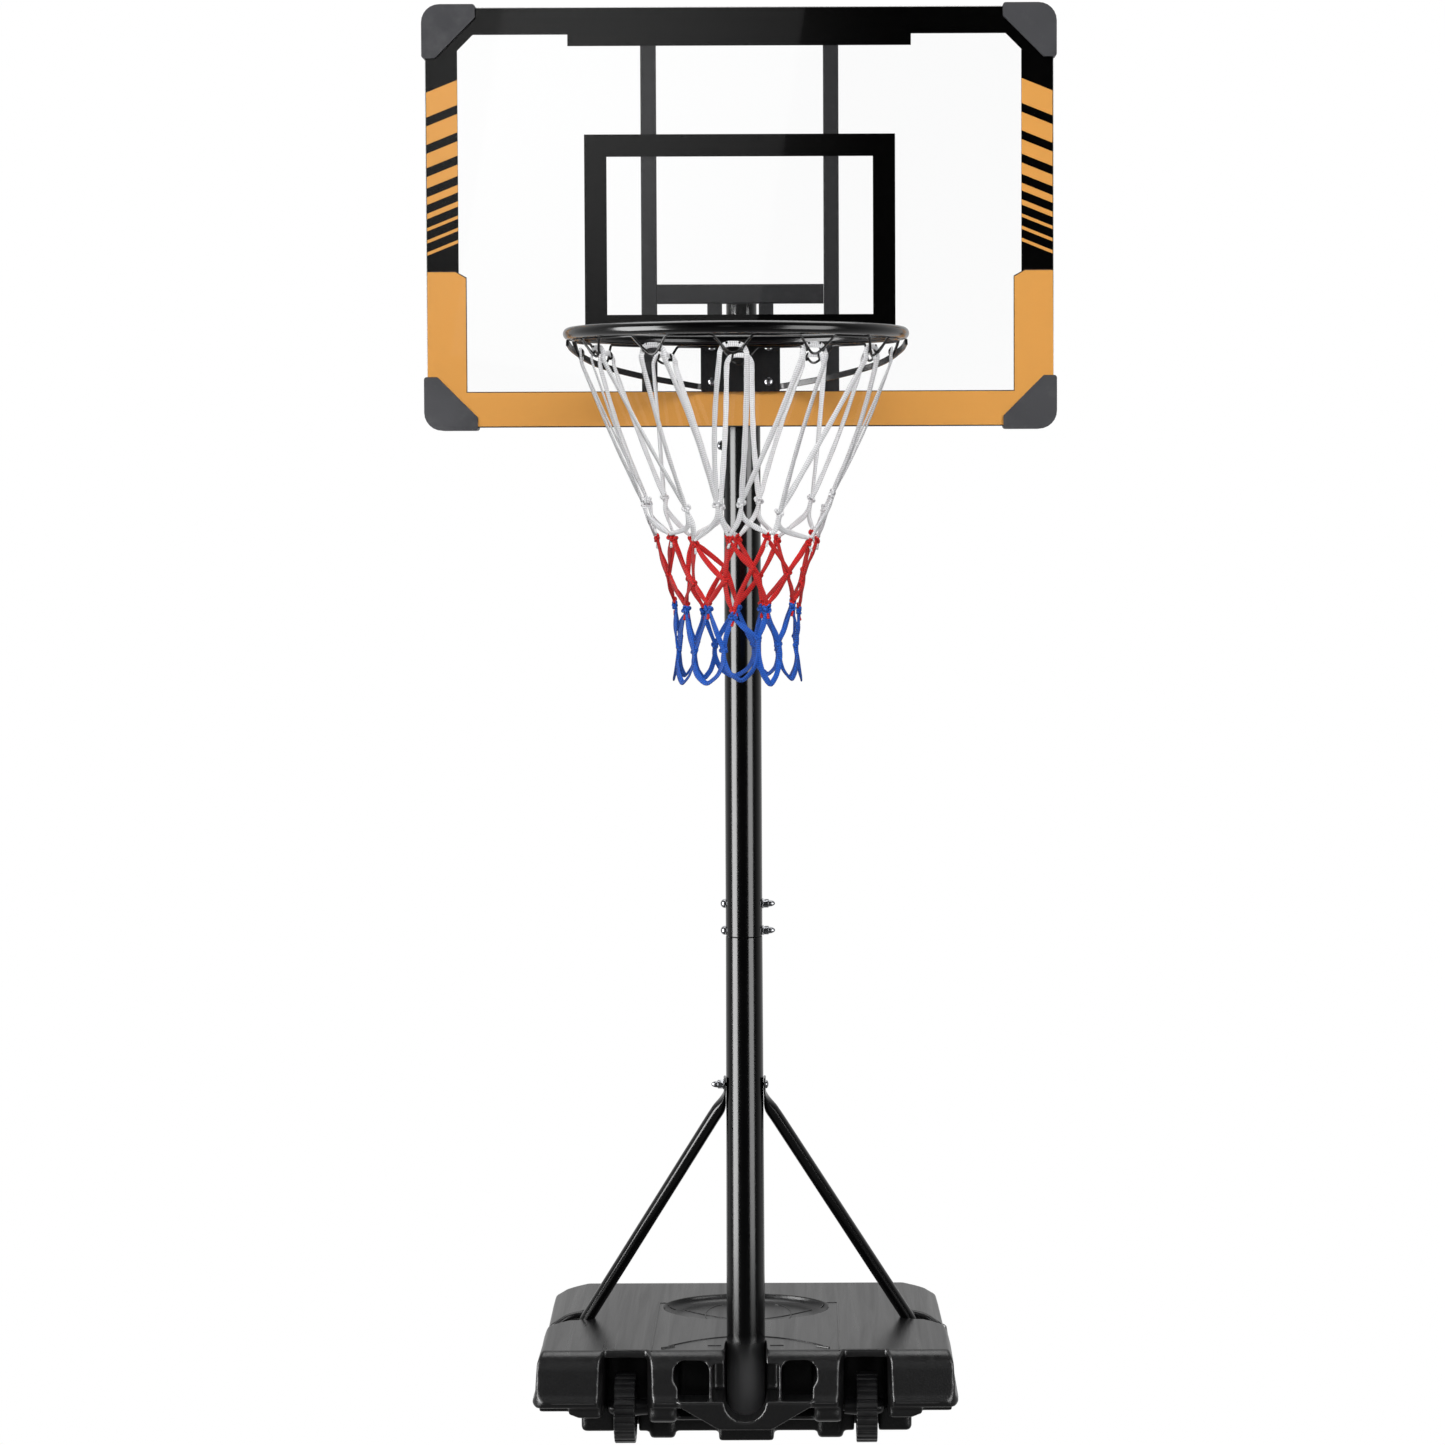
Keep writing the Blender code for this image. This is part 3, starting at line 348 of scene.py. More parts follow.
def braided_cord(name, colour, painted_groove_shade):
    """Flat braid: a herringbone of fine stitches, laid out by the cord's own length and width. Its colour is
    painted darker in the grooves between stitches, as shade.
    """
    finish = Finish(name, colour, 0.7)
    finish.set("Specular IOR Level", 0.25)

    def attribute(key):
        made = finish.node("Attribute")
        made.attribute_name = key
        return made.outputs["Fac"]

    along, across = attribute("along"), attribute("across")
    stitch_length = 0.0028
    lean = finish.maths("MULTIPLY", finish.maths("ABSOLUTE", across), 0.55 * math.pi)
    phase = finish.maths("ADD", finish.maths("MULTIPLY", along, 2 * math.pi / stitch_length), lean)
    ribs = finish.maths("COSINE", finish.maths("MULTIPLY", across, 3 * math.pi))
    stitch = finish.maths("MULTIPLY", finish.maths("SINE", phase), 0.6)
    weave = finish.maths("ADD", stitch, finish.maths("MULTIPLY", ribs, 0.3))
    fuzz = finish.maths("MULTIPLY", finish.noise(1500, 2), 0.5)
    # Painted shade: the colour darkens where the weave's bump is low, in the grooves.
    finish.tint(finish.span(weave, 0, 1, -0.9, 0.5), painted_groove_shade, colour)
    finish.bump(finish.maths("ADD", weave, fuzz), 0.5, 0.0005)
    return finish.material


# ------------------------------------------------------------------ mesh building
def make_object(name, vertices, faces, finish, angle=38):
    mesh = bpy.data.meshes.new(name)
    mesh.from_pydata([tuple(v) for v in vertices], [], faces)
    mesh.validate()
    mesh.materials.append(finish)
    return add_piece(name, mesh, angle)


def add_piece(name, mesh, angle=38):
    """Adds a mesh whose edges stay sharp where they turn by more than the angle, in degrees."""
    mesh.shade_smooth()
    mesh.set_sharp_from_angle(angle=math.radians(angle))
    made = bpy.data.objects.new(name, mesh)
    if len(mesh.polygons) < WEIGHTED_LIMIT:
        weigh = made.modifiers.new("normals", "WEIGHTED_NORMAL")
        weigh.keep_sharp = True
    bpy.context.scene.collection.objects.link(made)
    return made


def box_centre(node):
    """The middle of a CAD node's box."""
    low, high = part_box(node)
    return (low + high) / 2


def stand_in(made, *nodes):
    """The piece replaces a CAD node and rides on its body."""
    body = next(b for b, members in frame["record"]["behaviour"]["bodies"].items() if nodes[0] in members)
    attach(made, body)
    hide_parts(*nodes)
    return made


TURNS = {
    "X": Matrix.Rotation(math.pi / 2, 4, "Y"), "-X": Matrix.Rotation(-math.pi / 2, 4, "Y"),
    "Y": Matrix.Rotation(-math.pi / 2, 4, "X"), "-Y": Matrix.Rotation(math.pi / 2, 4, "X"),
    "Z": Matrix.Identity(4), "-Z": Matrix.Rotation(math.pi, 4, "X"),
}


def revolve(profile, steps=72, closed=False):
    """Vertices and faces of a profile of (radius, height) points turned about Z."""
    vertices, rows = [], []
    for radius, height in profile:
        if radius < 1e-9:
            rows.append([len(vertices)] * steps)
            vertices.append((0, 0, height))
            continue
        rows.append(list(range(len(vertices), len(vertices) + steps)))
        for step in range(steps):
            angle = step / steps * math.tau
            vertices.append((radius * math.cos(angle), radius * math.sin(angle), height))
    faces = []
    pairs = list(zip(rows, rows[1:]))
    if closed:
        pairs.append((rows[-1], rows[0]))
    for upper, lower in pairs:
        for step in range(steps):
            following = (step + 1) % steps
            corners = [upper[step], lower[step], lower[following], upper[following]]
            face = [c for i, c in enumerate(corners) if c not in corners[:i]]
            if len(face) > 2:
                faces.append(face)
    return vertices, faces


def placed(vertices, place, axis):
    matrix = Matrix.Translation(place) @ TURNS[axis]
    return [matrix @ Vector(v) for v in vertices]


def turned(name, profile, place, axis, finish, steps=72, closed=False, angle=38):
    """A turned piece; its profile's heights run along the axis, from the place."""
    vertices, faces = revolve(profile, steps, closed)
    return make_object(name, placed(vertices, place, axis), faces, finish, angle=angle)


def arc(centre, radius, start, end, steps):
    """Points of an arc, in degrees."""
    turns = [math.radians(start + (end - start) * i / steps) for i in range(steps + 1)]
    return [(centre[0] + radius * math.cos(t), centre[1] + radius * math.sin(t)) for t in turns]


def both_sides(left):
    """An outline's left part, followed by its mirror image."""
    return left + [(-x, other) for x, other in reversed(left)]


def mirrored(points, side):
    """An outline drawn on the right, moved to either side and wound the same way."""
    outline = [(side * x, other) for x, other in points]
    return outline if side > 0 else outline[::-1]


def rectangle(low_u, low_v, high_u, high_v):
    return [(low_u, low_v), (high_u, low_v), (high_u, high_v), (low_u, high_v)]


def rounded_loop(corners, radius, steps=4):
    """A closed outline with each corner rounded; radius may be a list."""
    count = len(corners)
    loop = []
    for index, corner in enumerate(corners):
        r = radius[index] if isinstance(radius, (list, tuple)) else radius
        here = Vector(corner)
        before = (Vector(corners[index - 1]) - here).normalized()
        after = (Vector(corners[(index + 1) % count]) - here).normalized()
        if r <= 0:
            loop.append(tuple(here))
            continue
        half = before.angle(after) / 2
        reach = r / math.tan(half)
        centre = here + (before + after).normalized() * (r / math.sin(half))
        start = here + before * reach - centre
        end = here + after * reach - centre
        sweep_angle = start.angle_signed(end)
        for step in range(steps + 1):
            turn = Matrix.Rotation(-sweep_angle * step / steps, 2)
            loop.append(tuple(centre + turn @ start))
    return loop


def slab(name, loops, low, high, across, finish=None, bevel=0.0, segments=3):
    """Outlines filled as a 2D curve, given thickness along one axis. Inner loops are holes."""
    curve = bpy.data.curves.new(name, "CURVE")
    curve.dimensions = "2D"
    curve.fill_mode = "BOTH"
    curve.extrude = (high - low) / 2
    for loop in loops:
        line = curve.splines.new("POLY")
        line.points.add(len(loop) - 1)
        line.use_cyclic_u = True
        for point, (u, v) in zip(line.points, loop):
            point.co = (u, v, 0, 1)
    guide = bpy.data.objects.new(name, curve)
    bpy.context.scene.collection.objects.link(guide)
    mesh = bpy.data.meshes.new_from_object(guide.evaluated_get(bpy.context.evaluated_depsgraph_get()))
    bpy.data.objects.remove(guide)
    upright = Matrix.Rotation(math.pi / 2, 4, "X")
    middle = (low + high) / 2
    turn, offset = {
        "X": (Matrix.Rotation(math.pi / 2, 4, "Z") @ upright, (middle, 0, 0)),
        "Y": (upright, (0, middle, 0)),
        "Z": (Matrix.Identity(4), (0, 0, middle)),
    }[across]
    mesh.transform(Matrix.Translation(offset) @ turn)
    work = bmesh.new()
    work.from_mesh(mesh)
    bmesh.ops.remove_doubles(work, verts=work.verts, dist=1e-6)
    bmesh.ops.recalc_face_normals(work, faces=work.faces)
    work.to_mesh(mesh)
    work.free()
    mesh.name = name
    mesh.materials.clear()
    if finish:
        mesh.materials.append(finish)
    made = bpy.data.objects.new(name, mesh)
    bpy.context.scene.collection.objects.link(made)
    if bevel:
        add_bevel(made, bevel, segments)
    return made


def add_bevel(made, width, segments=3, angle=30):
    step = made.modifiers.new("edges", "BEVEL")
    step.width = width
    step.segments = segments
    step.limit_method = "ANGLE"
    step.angle_limit = math.radians(angle)
    return made


def block(name, low, high, finish=None, bevel=0.0):
    """A box between two corners."""
    return slab(name, [rectangle(*low[:2], *high[:2])], low[2], high[2], "Z", finish, bevel)


def bake_modifiers(made, name, angle=38):
    """Replaces an object by its evaluated mesh."""
    bpy.context.view_layer.update()
    evaluated = made.evaluated_get(bpy.context.evaluated_depsgraph_get())
    mesh = bpy.data.meshes.new_from_object(evaluated)
    finishes = [m for m in made.data.materials if m]
    bpy.data.objects.remove(made)
    mesh.name = name
    if not mesh.materials:
        for finish in finishes:
            mesh.materials.append(finish)
    return add_piece(name, mesh, angle)


# Shapes that cut or join others, kept until the modifiers that use them are baked.
TOOLS = []


def boolean(target, tool, operation="DIFFERENCE"):
    step = target.modifiers.new(tool.name, "BOOLEAN")
    step.operation = operation
    step.solver = "MANIFOLD"
    step.object = tool
    tool.hide_render = True
    tool.hide_viewport = False
    TOOLS.append(tool)


def bore(target, name, radius, place, axis, low, high, steps=24):
    """Cuts a round hole from low to high along an axis through the place."""
    profile = [(0, high), (radius, high), (radius, low), (0, low)]
    boolean(target, turned(name, profile, place, axis, target.data.materials[0], steps))


def remove_tools():
    for tool in TOOLS:
        bpy.data.objects.remove(tool)
    TOOLS.clear()


def unit_rows(vectors):
    """Each row made one long."""
    return vectors / np.linalg.norm(vectors, axis=1)[:, None]


def lengths_along(path):
    """How far along the path each of its points is."""
    return np.concatenate([[0], np.cumsum(np.linalg.norm(np.diff(path, axis=0), axis=1))])


def sides_along(points, hints=None, closed=False):
    """Side and up vectors at each point; hints give the up direction, else it is carried along."""
    if closed:
        tangents = np.roll(points, -1, 0) - np.roll(points, 1, 0)
    else:
        tangents = np.gradient(points, axis=0)
    tangents = unit_rows(tangents)
    if hints is None:
        hints = np.zeros_like(points)
        up = np.array([0, 0, 1.0]) if abs(tangents[0][2]) < 0.9 else np.array([1.0, 0, 0])
        for i, tangent in enumerate(tangents):
            up = up - tangent * (up @ tangent)
            up /= np.linalg.norm(up)
            hints[i] = up
    sides = unit_rows(np.cross(tangents, np.asarray(hints, float)))
    return sides, np.cross(sides, tangents)


def sweep(points, section, hints=None, closed=False, scales=None):
    """Vertices, faces and (along, across) values of a section of (side, up) points carried along a path."""
    points = np.asarray(points, float)
    section = np.asarray(section, float)
    sides, ups = sides_along(points, hints, closed)
    count, ring = len(points), len(section)
    scales = np.ones((count, 2)) if scales is None else np.asarray(scales, float)
    side_part = (section[None, :, 0:1] * scales[:, None, 0:1]) * sides[:, None, :]
    up_part = (section[None, :, 1:2] * scales[:, None, 1:2]) * ups[:, None, :]
    vertices = (points[:, None, :] + side_part + up_part).reshape(-1, 3)
    faces = []
    for row in range(count if closed else count - 1):
        following = (row + 1) % count
        for i in range(ring):
            j = (i + 1) % ring
            faces.append((row * ring + i, row * ring + j, following * ring + j, following * ring + i))
    if not closed:
        faces.append(tuple(reversed(range(ring))))
        faces.append(tuple(range((count - 1) * ring, count * ring)))
    width = np.abs(section[:, 0]).max()
    return vertices, faces, np.repeat(lengths_along(points), ring), np.tile(section[:, 0] / width, count)


def circle(radius, sides=12, flat=1.0):
    """Points of a circle, or of an oval where flat is less than 1."""
    turns = [i / sides * math.tau for i in range(sides)]
    return [(radius * math.cos(t), radius * flat * math.sin(t)) for t in turns]


def smooth_path(stops, spacing, closed=False):
    """A Catmull-Rom curve through the stops, with points about spacing apart."""
    stops = np.asarray(stops, float)
    count = len(stops)
    if closed:
        padded = np.vstack([stops[-1], stops, stops[0], stops[1]])
        spans = count
    else:
        padded = np.vstack([2 * stops[0] - stops[1], stops, 2 * stops[-1] - stops[-2]])
        spans = count - 1
    points = []
    for i in range(spans):
        p0, p1, p2, p3 = padded[i:i + 4]
        steps = max(2, int(round(np.linalg.norm(p2 - p1) / spacing)))
        t = np.arange(steps)[:, None] / steps
        points.append(0.5 * (2 * p1 + (p2 - p0) * t + (2 * p0 - 5 * p1 + 4 * p2 - p3) * t ** 2
                             + (3 * p1 - p0 - 3 * p2 + p3) * t ** 3))
    points = np.vstack(points)
    return points if closed else np.vstack([points, stops[-1]])


class Bundle:
    """Several swept shapes gathered into one mesh."""

    def __init__(self):
        self.vertices, self.faces, self.along, self.across = [], [], [], []
        self.count = 0

    def add(self, vertices, faces, along=None, across=None):
        vertices = np.asarray(vertices, float).reshape(-1, 3)
        self.vertices.append(vertices)
        self.faces.extend(tuple(i + self.count for i in face) for face in faces)
        self.along.append(np.zeros(len(vertices)) if along is None else along)
        self.across.append(np.zeros(len(vertices)) if across is None else across)
        self.count += len(vertices)

    def build(self, name, finish, angle=50):
        made = make_object(name, np.vstack(self.vertices), self.faces, finish, angle=angle)
        for key, values in (("along", self.along), ("across", self.across)):
            layer = made.data.attributes.new(key, "FLOAT", "POINT")
            layer.data.foreach_set("value", np.concatenate(values).astype(np.float32))
        return made


# ------------------------------------------------------------------ pole, braces and their fasteners
def make_poles(paint, plastic):
    """Three tubes: the lower one with its swaged end, the middle one over it, and the sliding upper one."""
    origin = (0, 0, 0)
    low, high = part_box("pole_lower")
    wall = 0.0012
    inner = POLE_RADIUS - wall
    swage = inner - 0.0005
    foot = POLE_RADIUS + 0.0015
    lower = [
        (swage - 0.0006, high.z), (swage, high.z - 0.002), (swage, SEAM_Z + 0.001),
        (POLE_RADIUS - 0.0012, SEAM_Z - 0.0004), (POLE_RADIUS - 0.0002, SEAM_Z - 0.0012),
        (POLE_RADIUS, SEAM_Z - 0.003), (foot, 0.16), (foot, low.z), (inner, low.z), (inner, SEAM_Z - 0.006),
        (swage - wall, SEAM_Z), (swage - wall, high.z),
    ]
    stand_in(turned("pole_lower_tube", lower, origin, "Z", paint, 96, True), "pole_lower")

    low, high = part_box("pole_middle")
    middle = [
        (inner, high.z), (POLE_RADIUS - 0.0004, high.z), (POLE_RADIUS, high.z - 0.0004),
        (POLE_RADIUS, low.z + 0.0009), (POLE_RADIUS - 0.0003, low.z + 0.0003), (POLE_RADIUS - 0.0009, low.z),
        (inner, low.z),
    ]
    stand_in(turned("pole_middle_tube", middle, origin, "Z", paint, 96, True), "pole_middle")

    boss_profile = [(0.0035, 0.0052), (0.0066, 0.0052), (0.0073, 0.0044), (0.0073, 0), (0.0035, 0)]
    for word in ("upper", "lower"):
        place = (-POLE_RADIUS + 0.0006, 0, box_centre(f"lock_screw_{word}").z)
        boss = turned(f"lock_boss_{word}", boss_profile, place, "-X", paint, 36, True)
        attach(boss, "stand")

    low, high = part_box("pole_upper")
    upper_inner = UPPER_RADIUS - 0.0015
    upper = [(upper_inner, high.z), (UPPER_RADIUS, high.z), (UPPER_RADIUS, low.z), (upper_inner, low.z)]
    stand_in(turned("pole_upper_tube", upper, origin, "Z", paint, 96, True), "pole_upper")

    low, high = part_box("guide_bush")
    bore_radius = UPPER_RADIUS + 0.0004
    sleeve = inner - 0.0003
    flange = high.z - 0.003
    bush = [
        (bore_radius, high.z), (high.x - 0.0012, high.z), (high.x, high.z - 0.001), (high.x, flange),
        (sleeve, flange), (sleeve, low.z), (bore_radius, low.z),
    ]
    stand_in(turned("guide_bush_ring", bush, origin, "Z", plastic, 72, True), "guide_bush")

    low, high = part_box("pole_cap")
    seat = high.z - 0.003
    plug = upper_inner - 0.0003
    cap = [
        (0, high.z), (UPPER_RADIUS - 0.006, high.z - 0.0002), (UPPER_RADIUS - 0.0015, high.z - 0.0009),
        (UPPER_RADIUS, seat + 0.0008), (UPPER_RADIUS, seat), (plug, seat), (plug, low.z), (0, low.z),
    ]
    stand_in(turned("pole_end_cap", cap, origin, "Z", plastic, 72), "pole_cap")


def dome_head(radius, height, shank, length, dimple=0.0):
    """Profile of a domed bolt from its tip to its crown; the seat is at 0 and the head is below it."""
    rim = 0.0008
    crown = [(radius * math.cos(t), -rim - (height - rim) * math.sin(t)) for t in
             [math.radians(a) for a in (0, 15, 30, 45, 60, 75)]]
    tip = [(0, length), (shank - 0.0005, length), (shank, length - 0.0007)]
    pitch = 0.001
    thread = []
    for turn in range(int(min(length * 0.6, 0.02) / pitch)):
        top = length - pitch - turn * pitch
        thread += [(shank, top), (shank - 0.0004, top - pitch / 2)]
    middle = [(0, -height + dimple)]
    if dimple:
        middle = [(radius * 0.30, -height * 0.96), (radius * 0.24, -height + dimple)] + middle
    return tip + thread + [(shank, 0), (radius, 0)] + crown + middle


def bolt_piece(node, axis, finish, dimple=0.0):
    """A domed bolt in the place of its CAD node; axis is the way its shank points."""
    low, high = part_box(node)
    way = axis[-1]
    index = "XYZ".index(way)
    span = high[index] - low[index]
    beside = 0 if index else 1
    radius = (high[beside] - low[beside]) / 2
    head = {"lock": 0.0046, "seam": 0.0072, "rim": 0.0038}.get(node.split("_")[0], 0.0042)
    place = box_centre(node)
    place[index] = high[index] - head if axis.startswith("-") else low[index] + head
    profile = dome_head(radius, head, 0.003, span - head, dimple)
    return stand_in(turned(f"{node}_dome", profile, place, axis, finish, 40, angle=50), node)


def nut_piece(node, axis, finish):
    """A washer, a hexagon and a cap, with the end of the bolt hidden in it."""
    low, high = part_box(node)
    index = "XYZ".index(axis[-1])
    place = box_centre(node)
    place[index] = high[index] if axis.startswith("-") else low[index]
    height = high[index] - low[index]
    shoulder = height / 2
    hole = 0.0035
    washer = [(hole, 0.0013), (0.0071, 0.0013), (0.0074, 0.0010), (0.0074, 0.0002), (0.0072, 0), (hole, 0)]
    across = 0.0055
    corner = across / math.cos(math.pi / 6)
    hexagon = [
        (hole, 0.0014), (hole, shoulder), (across * 0.99, shoulder), (corner, shoulder - 0.0008),
        (corner, 0.0014),
    ]
    dome = [(0, height)]
    for degrees in (15, 30, 45, 60, 75, 90):
        turn = math.radians(degrees)
        dome.append((0.0048 * math.sin(turn), shoulder + (height - shoulder) * math.cos(turn)))
    dome += [(BOLT_HOLE, shoulder), (BOLT_HOLE, height - 0.0030), (0, height - 0.0030)]
    bundle = Bundle()
    for profile, steps, closed in ((washer, 40, True), (hexagon, 6, True), (dome, 40, False)):
        vertices, faces = revolve(profile, steps, closed)
        bundle.add(placed(vertices, place, axis), faces)
    return stand_in(bundle.build(f"{node}_acorn", finish), node)


def make_fasteners(steel):
    """Every bolt, nut and clamp screw; the screws at the feet of the braces come with the braces."""
    for word in ("upper", "lower"):
        bolt_piece(f"seam_bolt_{word}", "X", steel)
        nut_piece(f"seam_nut_{word}", "X", steel)
        bolt_piece(f"bracket_bolt_{word}", "X", steel)
        nut_piece(f"bracket_nut_{word}", "X", steel)
        bolt_piece(f"lock_screw_{word}", "X", steel, 0.002)
        for side in ("left", "right"):
            bolt_piece(f"rim_bolt_{word}_{side}", "Y", steel, 0.0012)
    bolt_piece("brace_bolt", "-X", steel)
    nut_piece("brace_nut", "-X", steel)


def make_braces(paint, steel):
    """Tubes pressed flat where they bolt to the pole and to the tank."""
    for word, side in SIDES:
        low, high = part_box(f"brace_{word}")
        foot = Vector((side * 0.268, 0.163, low.z + 0.0015))
        ear = Vector((side * (POLE_RADIUS + 0.0025), 0.0, high.z - 0.012))
        bend = ear + Vector((side * 0.0075, 0.0065, -0.034))
        stops = [ear + Vector((0, 0, 0.011)), ear, ear + Vector((side * 0.0006, 0.001, -0.014)), bend]
        run = foot + Vector((-side * 0.006, -0.0045, 0.011)) - bend
        stops += [bend + run * share for share in (0.06, 0.2, 0.4, 0.6, 0.8, 0.95, 1.0)]
        stops += [foot + Vector((side * x, y, z)) for x, y, z in (
            (0.004, 0.003, 0.0008), (0.015, 0.007, 0.0006), (0.022, 0.009, 0.0006))]
        path = smooth_path(stops, 0.004)
        lengths = lengths_along(path)
        total = lengths[-1]
        flat_top = np.clip((lengths - 0.020) / 0.034, 0, 1)
        flat_foot = np.clip((total - lengths - 0.026) / 0.026, 0, 1)
        fullness = np.minimum(flat_top, flat_foot)
        fullness = fullness * fullness * (3 - 2 * fullness)
        scales = np.stack([1.28 - 0.28 * fullness, 0.17 + 0.83 * fullness], 1)
        share = np.clip((lengths / total - 0.3) / 0.5, 0, 1)[:, None]
        hints = np.array([side, 0.0, 0.0]) * (1 - share) + np.array([side * 0.25, 0.0, 1.0]) * share
        vertices, faces, _, _ = sweep(path, circle(0.010, 24), hints, scales=scales)
        name = f"brace_{word}_tube"
        made = make_object(name, vertices, faces, paint, angle=60)
        bore(made, f"brace_{word}_tool", BOLT_HOLE, (side * 0.03, 0, ear.z), "X", -0.03, 0.03)
        centre = box_centre(f"foot_bolt_{word}")
        bore(made, f"brace_{word}_foot_tool", 0.0030, centre, "Z", -0.03, 0.03)
        stand_in(bake_modifiers(made, name, 60), f"brace_{word}")
        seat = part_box(f"foot_bolt_{word}")[1].z - 0.0032
        head = [
            (0, 0.0018), (0.0014, 0.0018), (0.0017, 0.0031), (0.0026, 0.0026), (0.0032, 0.0012), (0.0032, 0),
            (0.0024, -0.0002), (0.0024, -0.0086), (0, -0.0092),
        ]
        screw = turned(f"foot_bolt_{word}_pan", head, (centre.x, centre.y, seat), "Z", steel, 32)
        stand_in(screw, f"foot_bolt_{word}")
    remove_tools()


# ------------------------------------------------------------------ board
def make_panel(clear):
    """The CAD sheet keeps its shape and gets the clear finish."""
    panel = frame["nodes"]["backboard_panel"]
    panel.data.materials.clear()
    panel.data.materials.append(clear)


def print_layer(name, loops, depth, finish):
    """A film of ink, depth behind the sheet's back. Its outlines are given across from the board's middle
    and down from its top edge."""
    front = BOARD_HIGH.y + depth
    film = 0.00004
    outlines = [[(across, BOARD_HIGH.z - down) for across, down in loop] for loop in loops]
    made = slab(name, outlines, front, front + film, "Y", finish)
    made.data.shade_flat()
    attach(made, "carriage")
    return made


def make_prints(black, orange, grey):
    """The printed border, black above and orange below, its stripes, and the shooter's square."""
    half = BOARD_HALF
    height = BOARD_HIGH.z - BOARD_LOW.z
    corner = BOARD_CORNER
    near, far = 0.00004, 0.00012
    edge = 0.0008

    band, centre_band, side_band = 0.0386, 0.055, 0.046
    chamfer, centre_half = 0.0225, 0.246
    orange_start, orange_side, orange_bottom = 0.377, 0.056, 0.050
    black_end = orange_start + 0.004
    outline = both_sides([
        (-half + edge, black_end), (-half + side_band, black_end), (-half + side_band, band + chamfer),
        (-half + side_band + chamfer, band), (-centre_half, band), (-centre_half, centre_band),
    ])
    outline += arc((half - corner, corner), corner - edge, 0, -90, 6)
    outline += arc((corner - half, corner), corner - edge, -90, -180, 6)
    print_layer("print_black_border", [outline], far, black)

    gap, slope = 0.0127, 0.4
    inner_end, outer_end = half - side_band + 0.0004, half - 0.0012
    rise = slope * (side_band - 0.0012)
    stripes = []
    start = 0.1205
    for stripe in (0.0355, 0.0263, 0.0206, 0.0163, 0.0108, 0.0076, 0.0047, 0.0047, 0.0047):
        end = start + stripe
        for _, side in SIDES:
            inner, outer = side * inner_end, side * outer_end
            stripes.append([(outer, start), (outer, end), (inner, end - rise), (inner, start - rise)])
        start = end + gap
    print_layer("print_orange_stripes", stripes, near, orange)

    def border(grow, low_edge):
        """The orange border's outline, grown by a hair for its dark edge."""
        inside = half - orange_side - grow
        top_edge = orange_start - grow
        cut = 0.009
        low = height - low_edge - corner
        return both_sides([
            (-half + edge, top_edge), (-half + side_band - 0.005, top_edge), (-inside, top_edge + cut),
            (-inside, height - orange_bottom - grow),
        ]) + arc((half - corner, low), corner, 0, 90, 6) + arc((corner - half, low), corner, 90, 180, 6)

    print_layer("print_orange_edge", [border(0.0013, edge)], far, grey)
    print_layer("print_orange_border", [border(0, 2 * edge)], near, orange)

    outer_half, bar = 0.223, 0.032
    square_top, square_bottom = 0.181, 0.471
    print_layer("print_square", [
        rectangle(-outer_half, square_top, outer_half, square_bottom),
        rectangle(-outer_half + bar, square_top + bar, outer_half - bar, square_bottom - bar),
    ], far, black)


def make_frame(paint):
    """Square tubes with rounded edges, open at their ends where another tube closes them."""
    wall, edge = 0.0012, 0.0022
    board = rounded_loop(rectangle(-BOARD_HALF, BOARD_LOW.z, BOARD_HALF, BOARD_HIGH.z), BOARD_CORNER, 6)
    for node in ("frame_left", "frame_right", "rail_left", "rail_right", "post_left", "post_right",
                 "cross_rail", "frame_top", "frame_bottom"):
        low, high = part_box(node)
        level = node in ("cross_rail", "frame_top", "frame_bottom")
        first, second, along = (1, 2, 0) if level else (0, 1, 2)
        loops = []
        for inset, radius in ((0, edge), (wall, edge - wall)):
            section = rectangle(low[first] + inset, low[second] + inset,
                                high[first] - inset, high[second] - inset)
            loops.append(rounded_loop(section, radius, 3))
        made = slab(f"{node}_tube", loops, low[along], high[along], "XYZ"[along], paint)
        if node in ("frame_top", "frame_bottom"):
            boolean(made, slab(f"{node}_tool", [board], low.y - 0.05, high.y + 0.05, "Y"), "INTERSECT")
        if node.startswith("post"):
            for row in ("upper", "lower"):
                centre = box_centre(f"rim_bolt_{row}_{node.split('_')[1]}")
                bore(made, f"{node}_{row}_tool", BOLT_HOLE, centre, "Y", -0.06, 0.06)
        stand_in(bake_modifiers(made, f"{node}_tube", 30), node)
    remove_tools()


def make_pads(rubber):
    """Rounded corner caps with a pocket for the board and a soft bevel along the diagonal."""
    low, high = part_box("corner_pad_top_right")
    clear = 0.0004
    board = rectangle(-BOARD_HALF - clear, BOARD_LOW.z - clear, BOARD_HALF + clear, BOARD_HIGH.z + clear)
    board = rounded_loop(board, BOARD_CORNER + clear, 8)
    pocket = slab("pad_pocket_tool", [board], BOARD_LOW.y - clear, FRAME_BACK + clear, "Y")
    leg, end = high.x - low.x, 0.019
    middle = (BOARD_LOW.z + BOARD_HIGH.z) / 2
    x, z = high.x, high.z - middle
    corners = [(x, z - leg), (x, z), (x - leg, z), (x - leg, z - end), (x - end, z - leg)]
    shape = rounded_loop(corners, [0.004, 0.026, 0.004, 0.003, 0.003], 6)
    for up, row in ((1, "top"), (-1, "bottom")):
        for word, side in SIDES:
            loop = [(side * x, middle + up * z) for x, z in shape]
            if side * up < 0:
                loop.reverse()
            name = f"corner_pad_{row}_{word}"
            made = slab(f"{name}_cap", [loop], low.y, high.y, "Y", rubber)
            add_bevel(made, 0.0034, 4, 50)
            boolean(made, pocket)
            TOOLS.pop()
            stand_in(bake_modifiers(made, f"{name}_cap", 40), name)
    bpy.data.objects.remove(pocket)


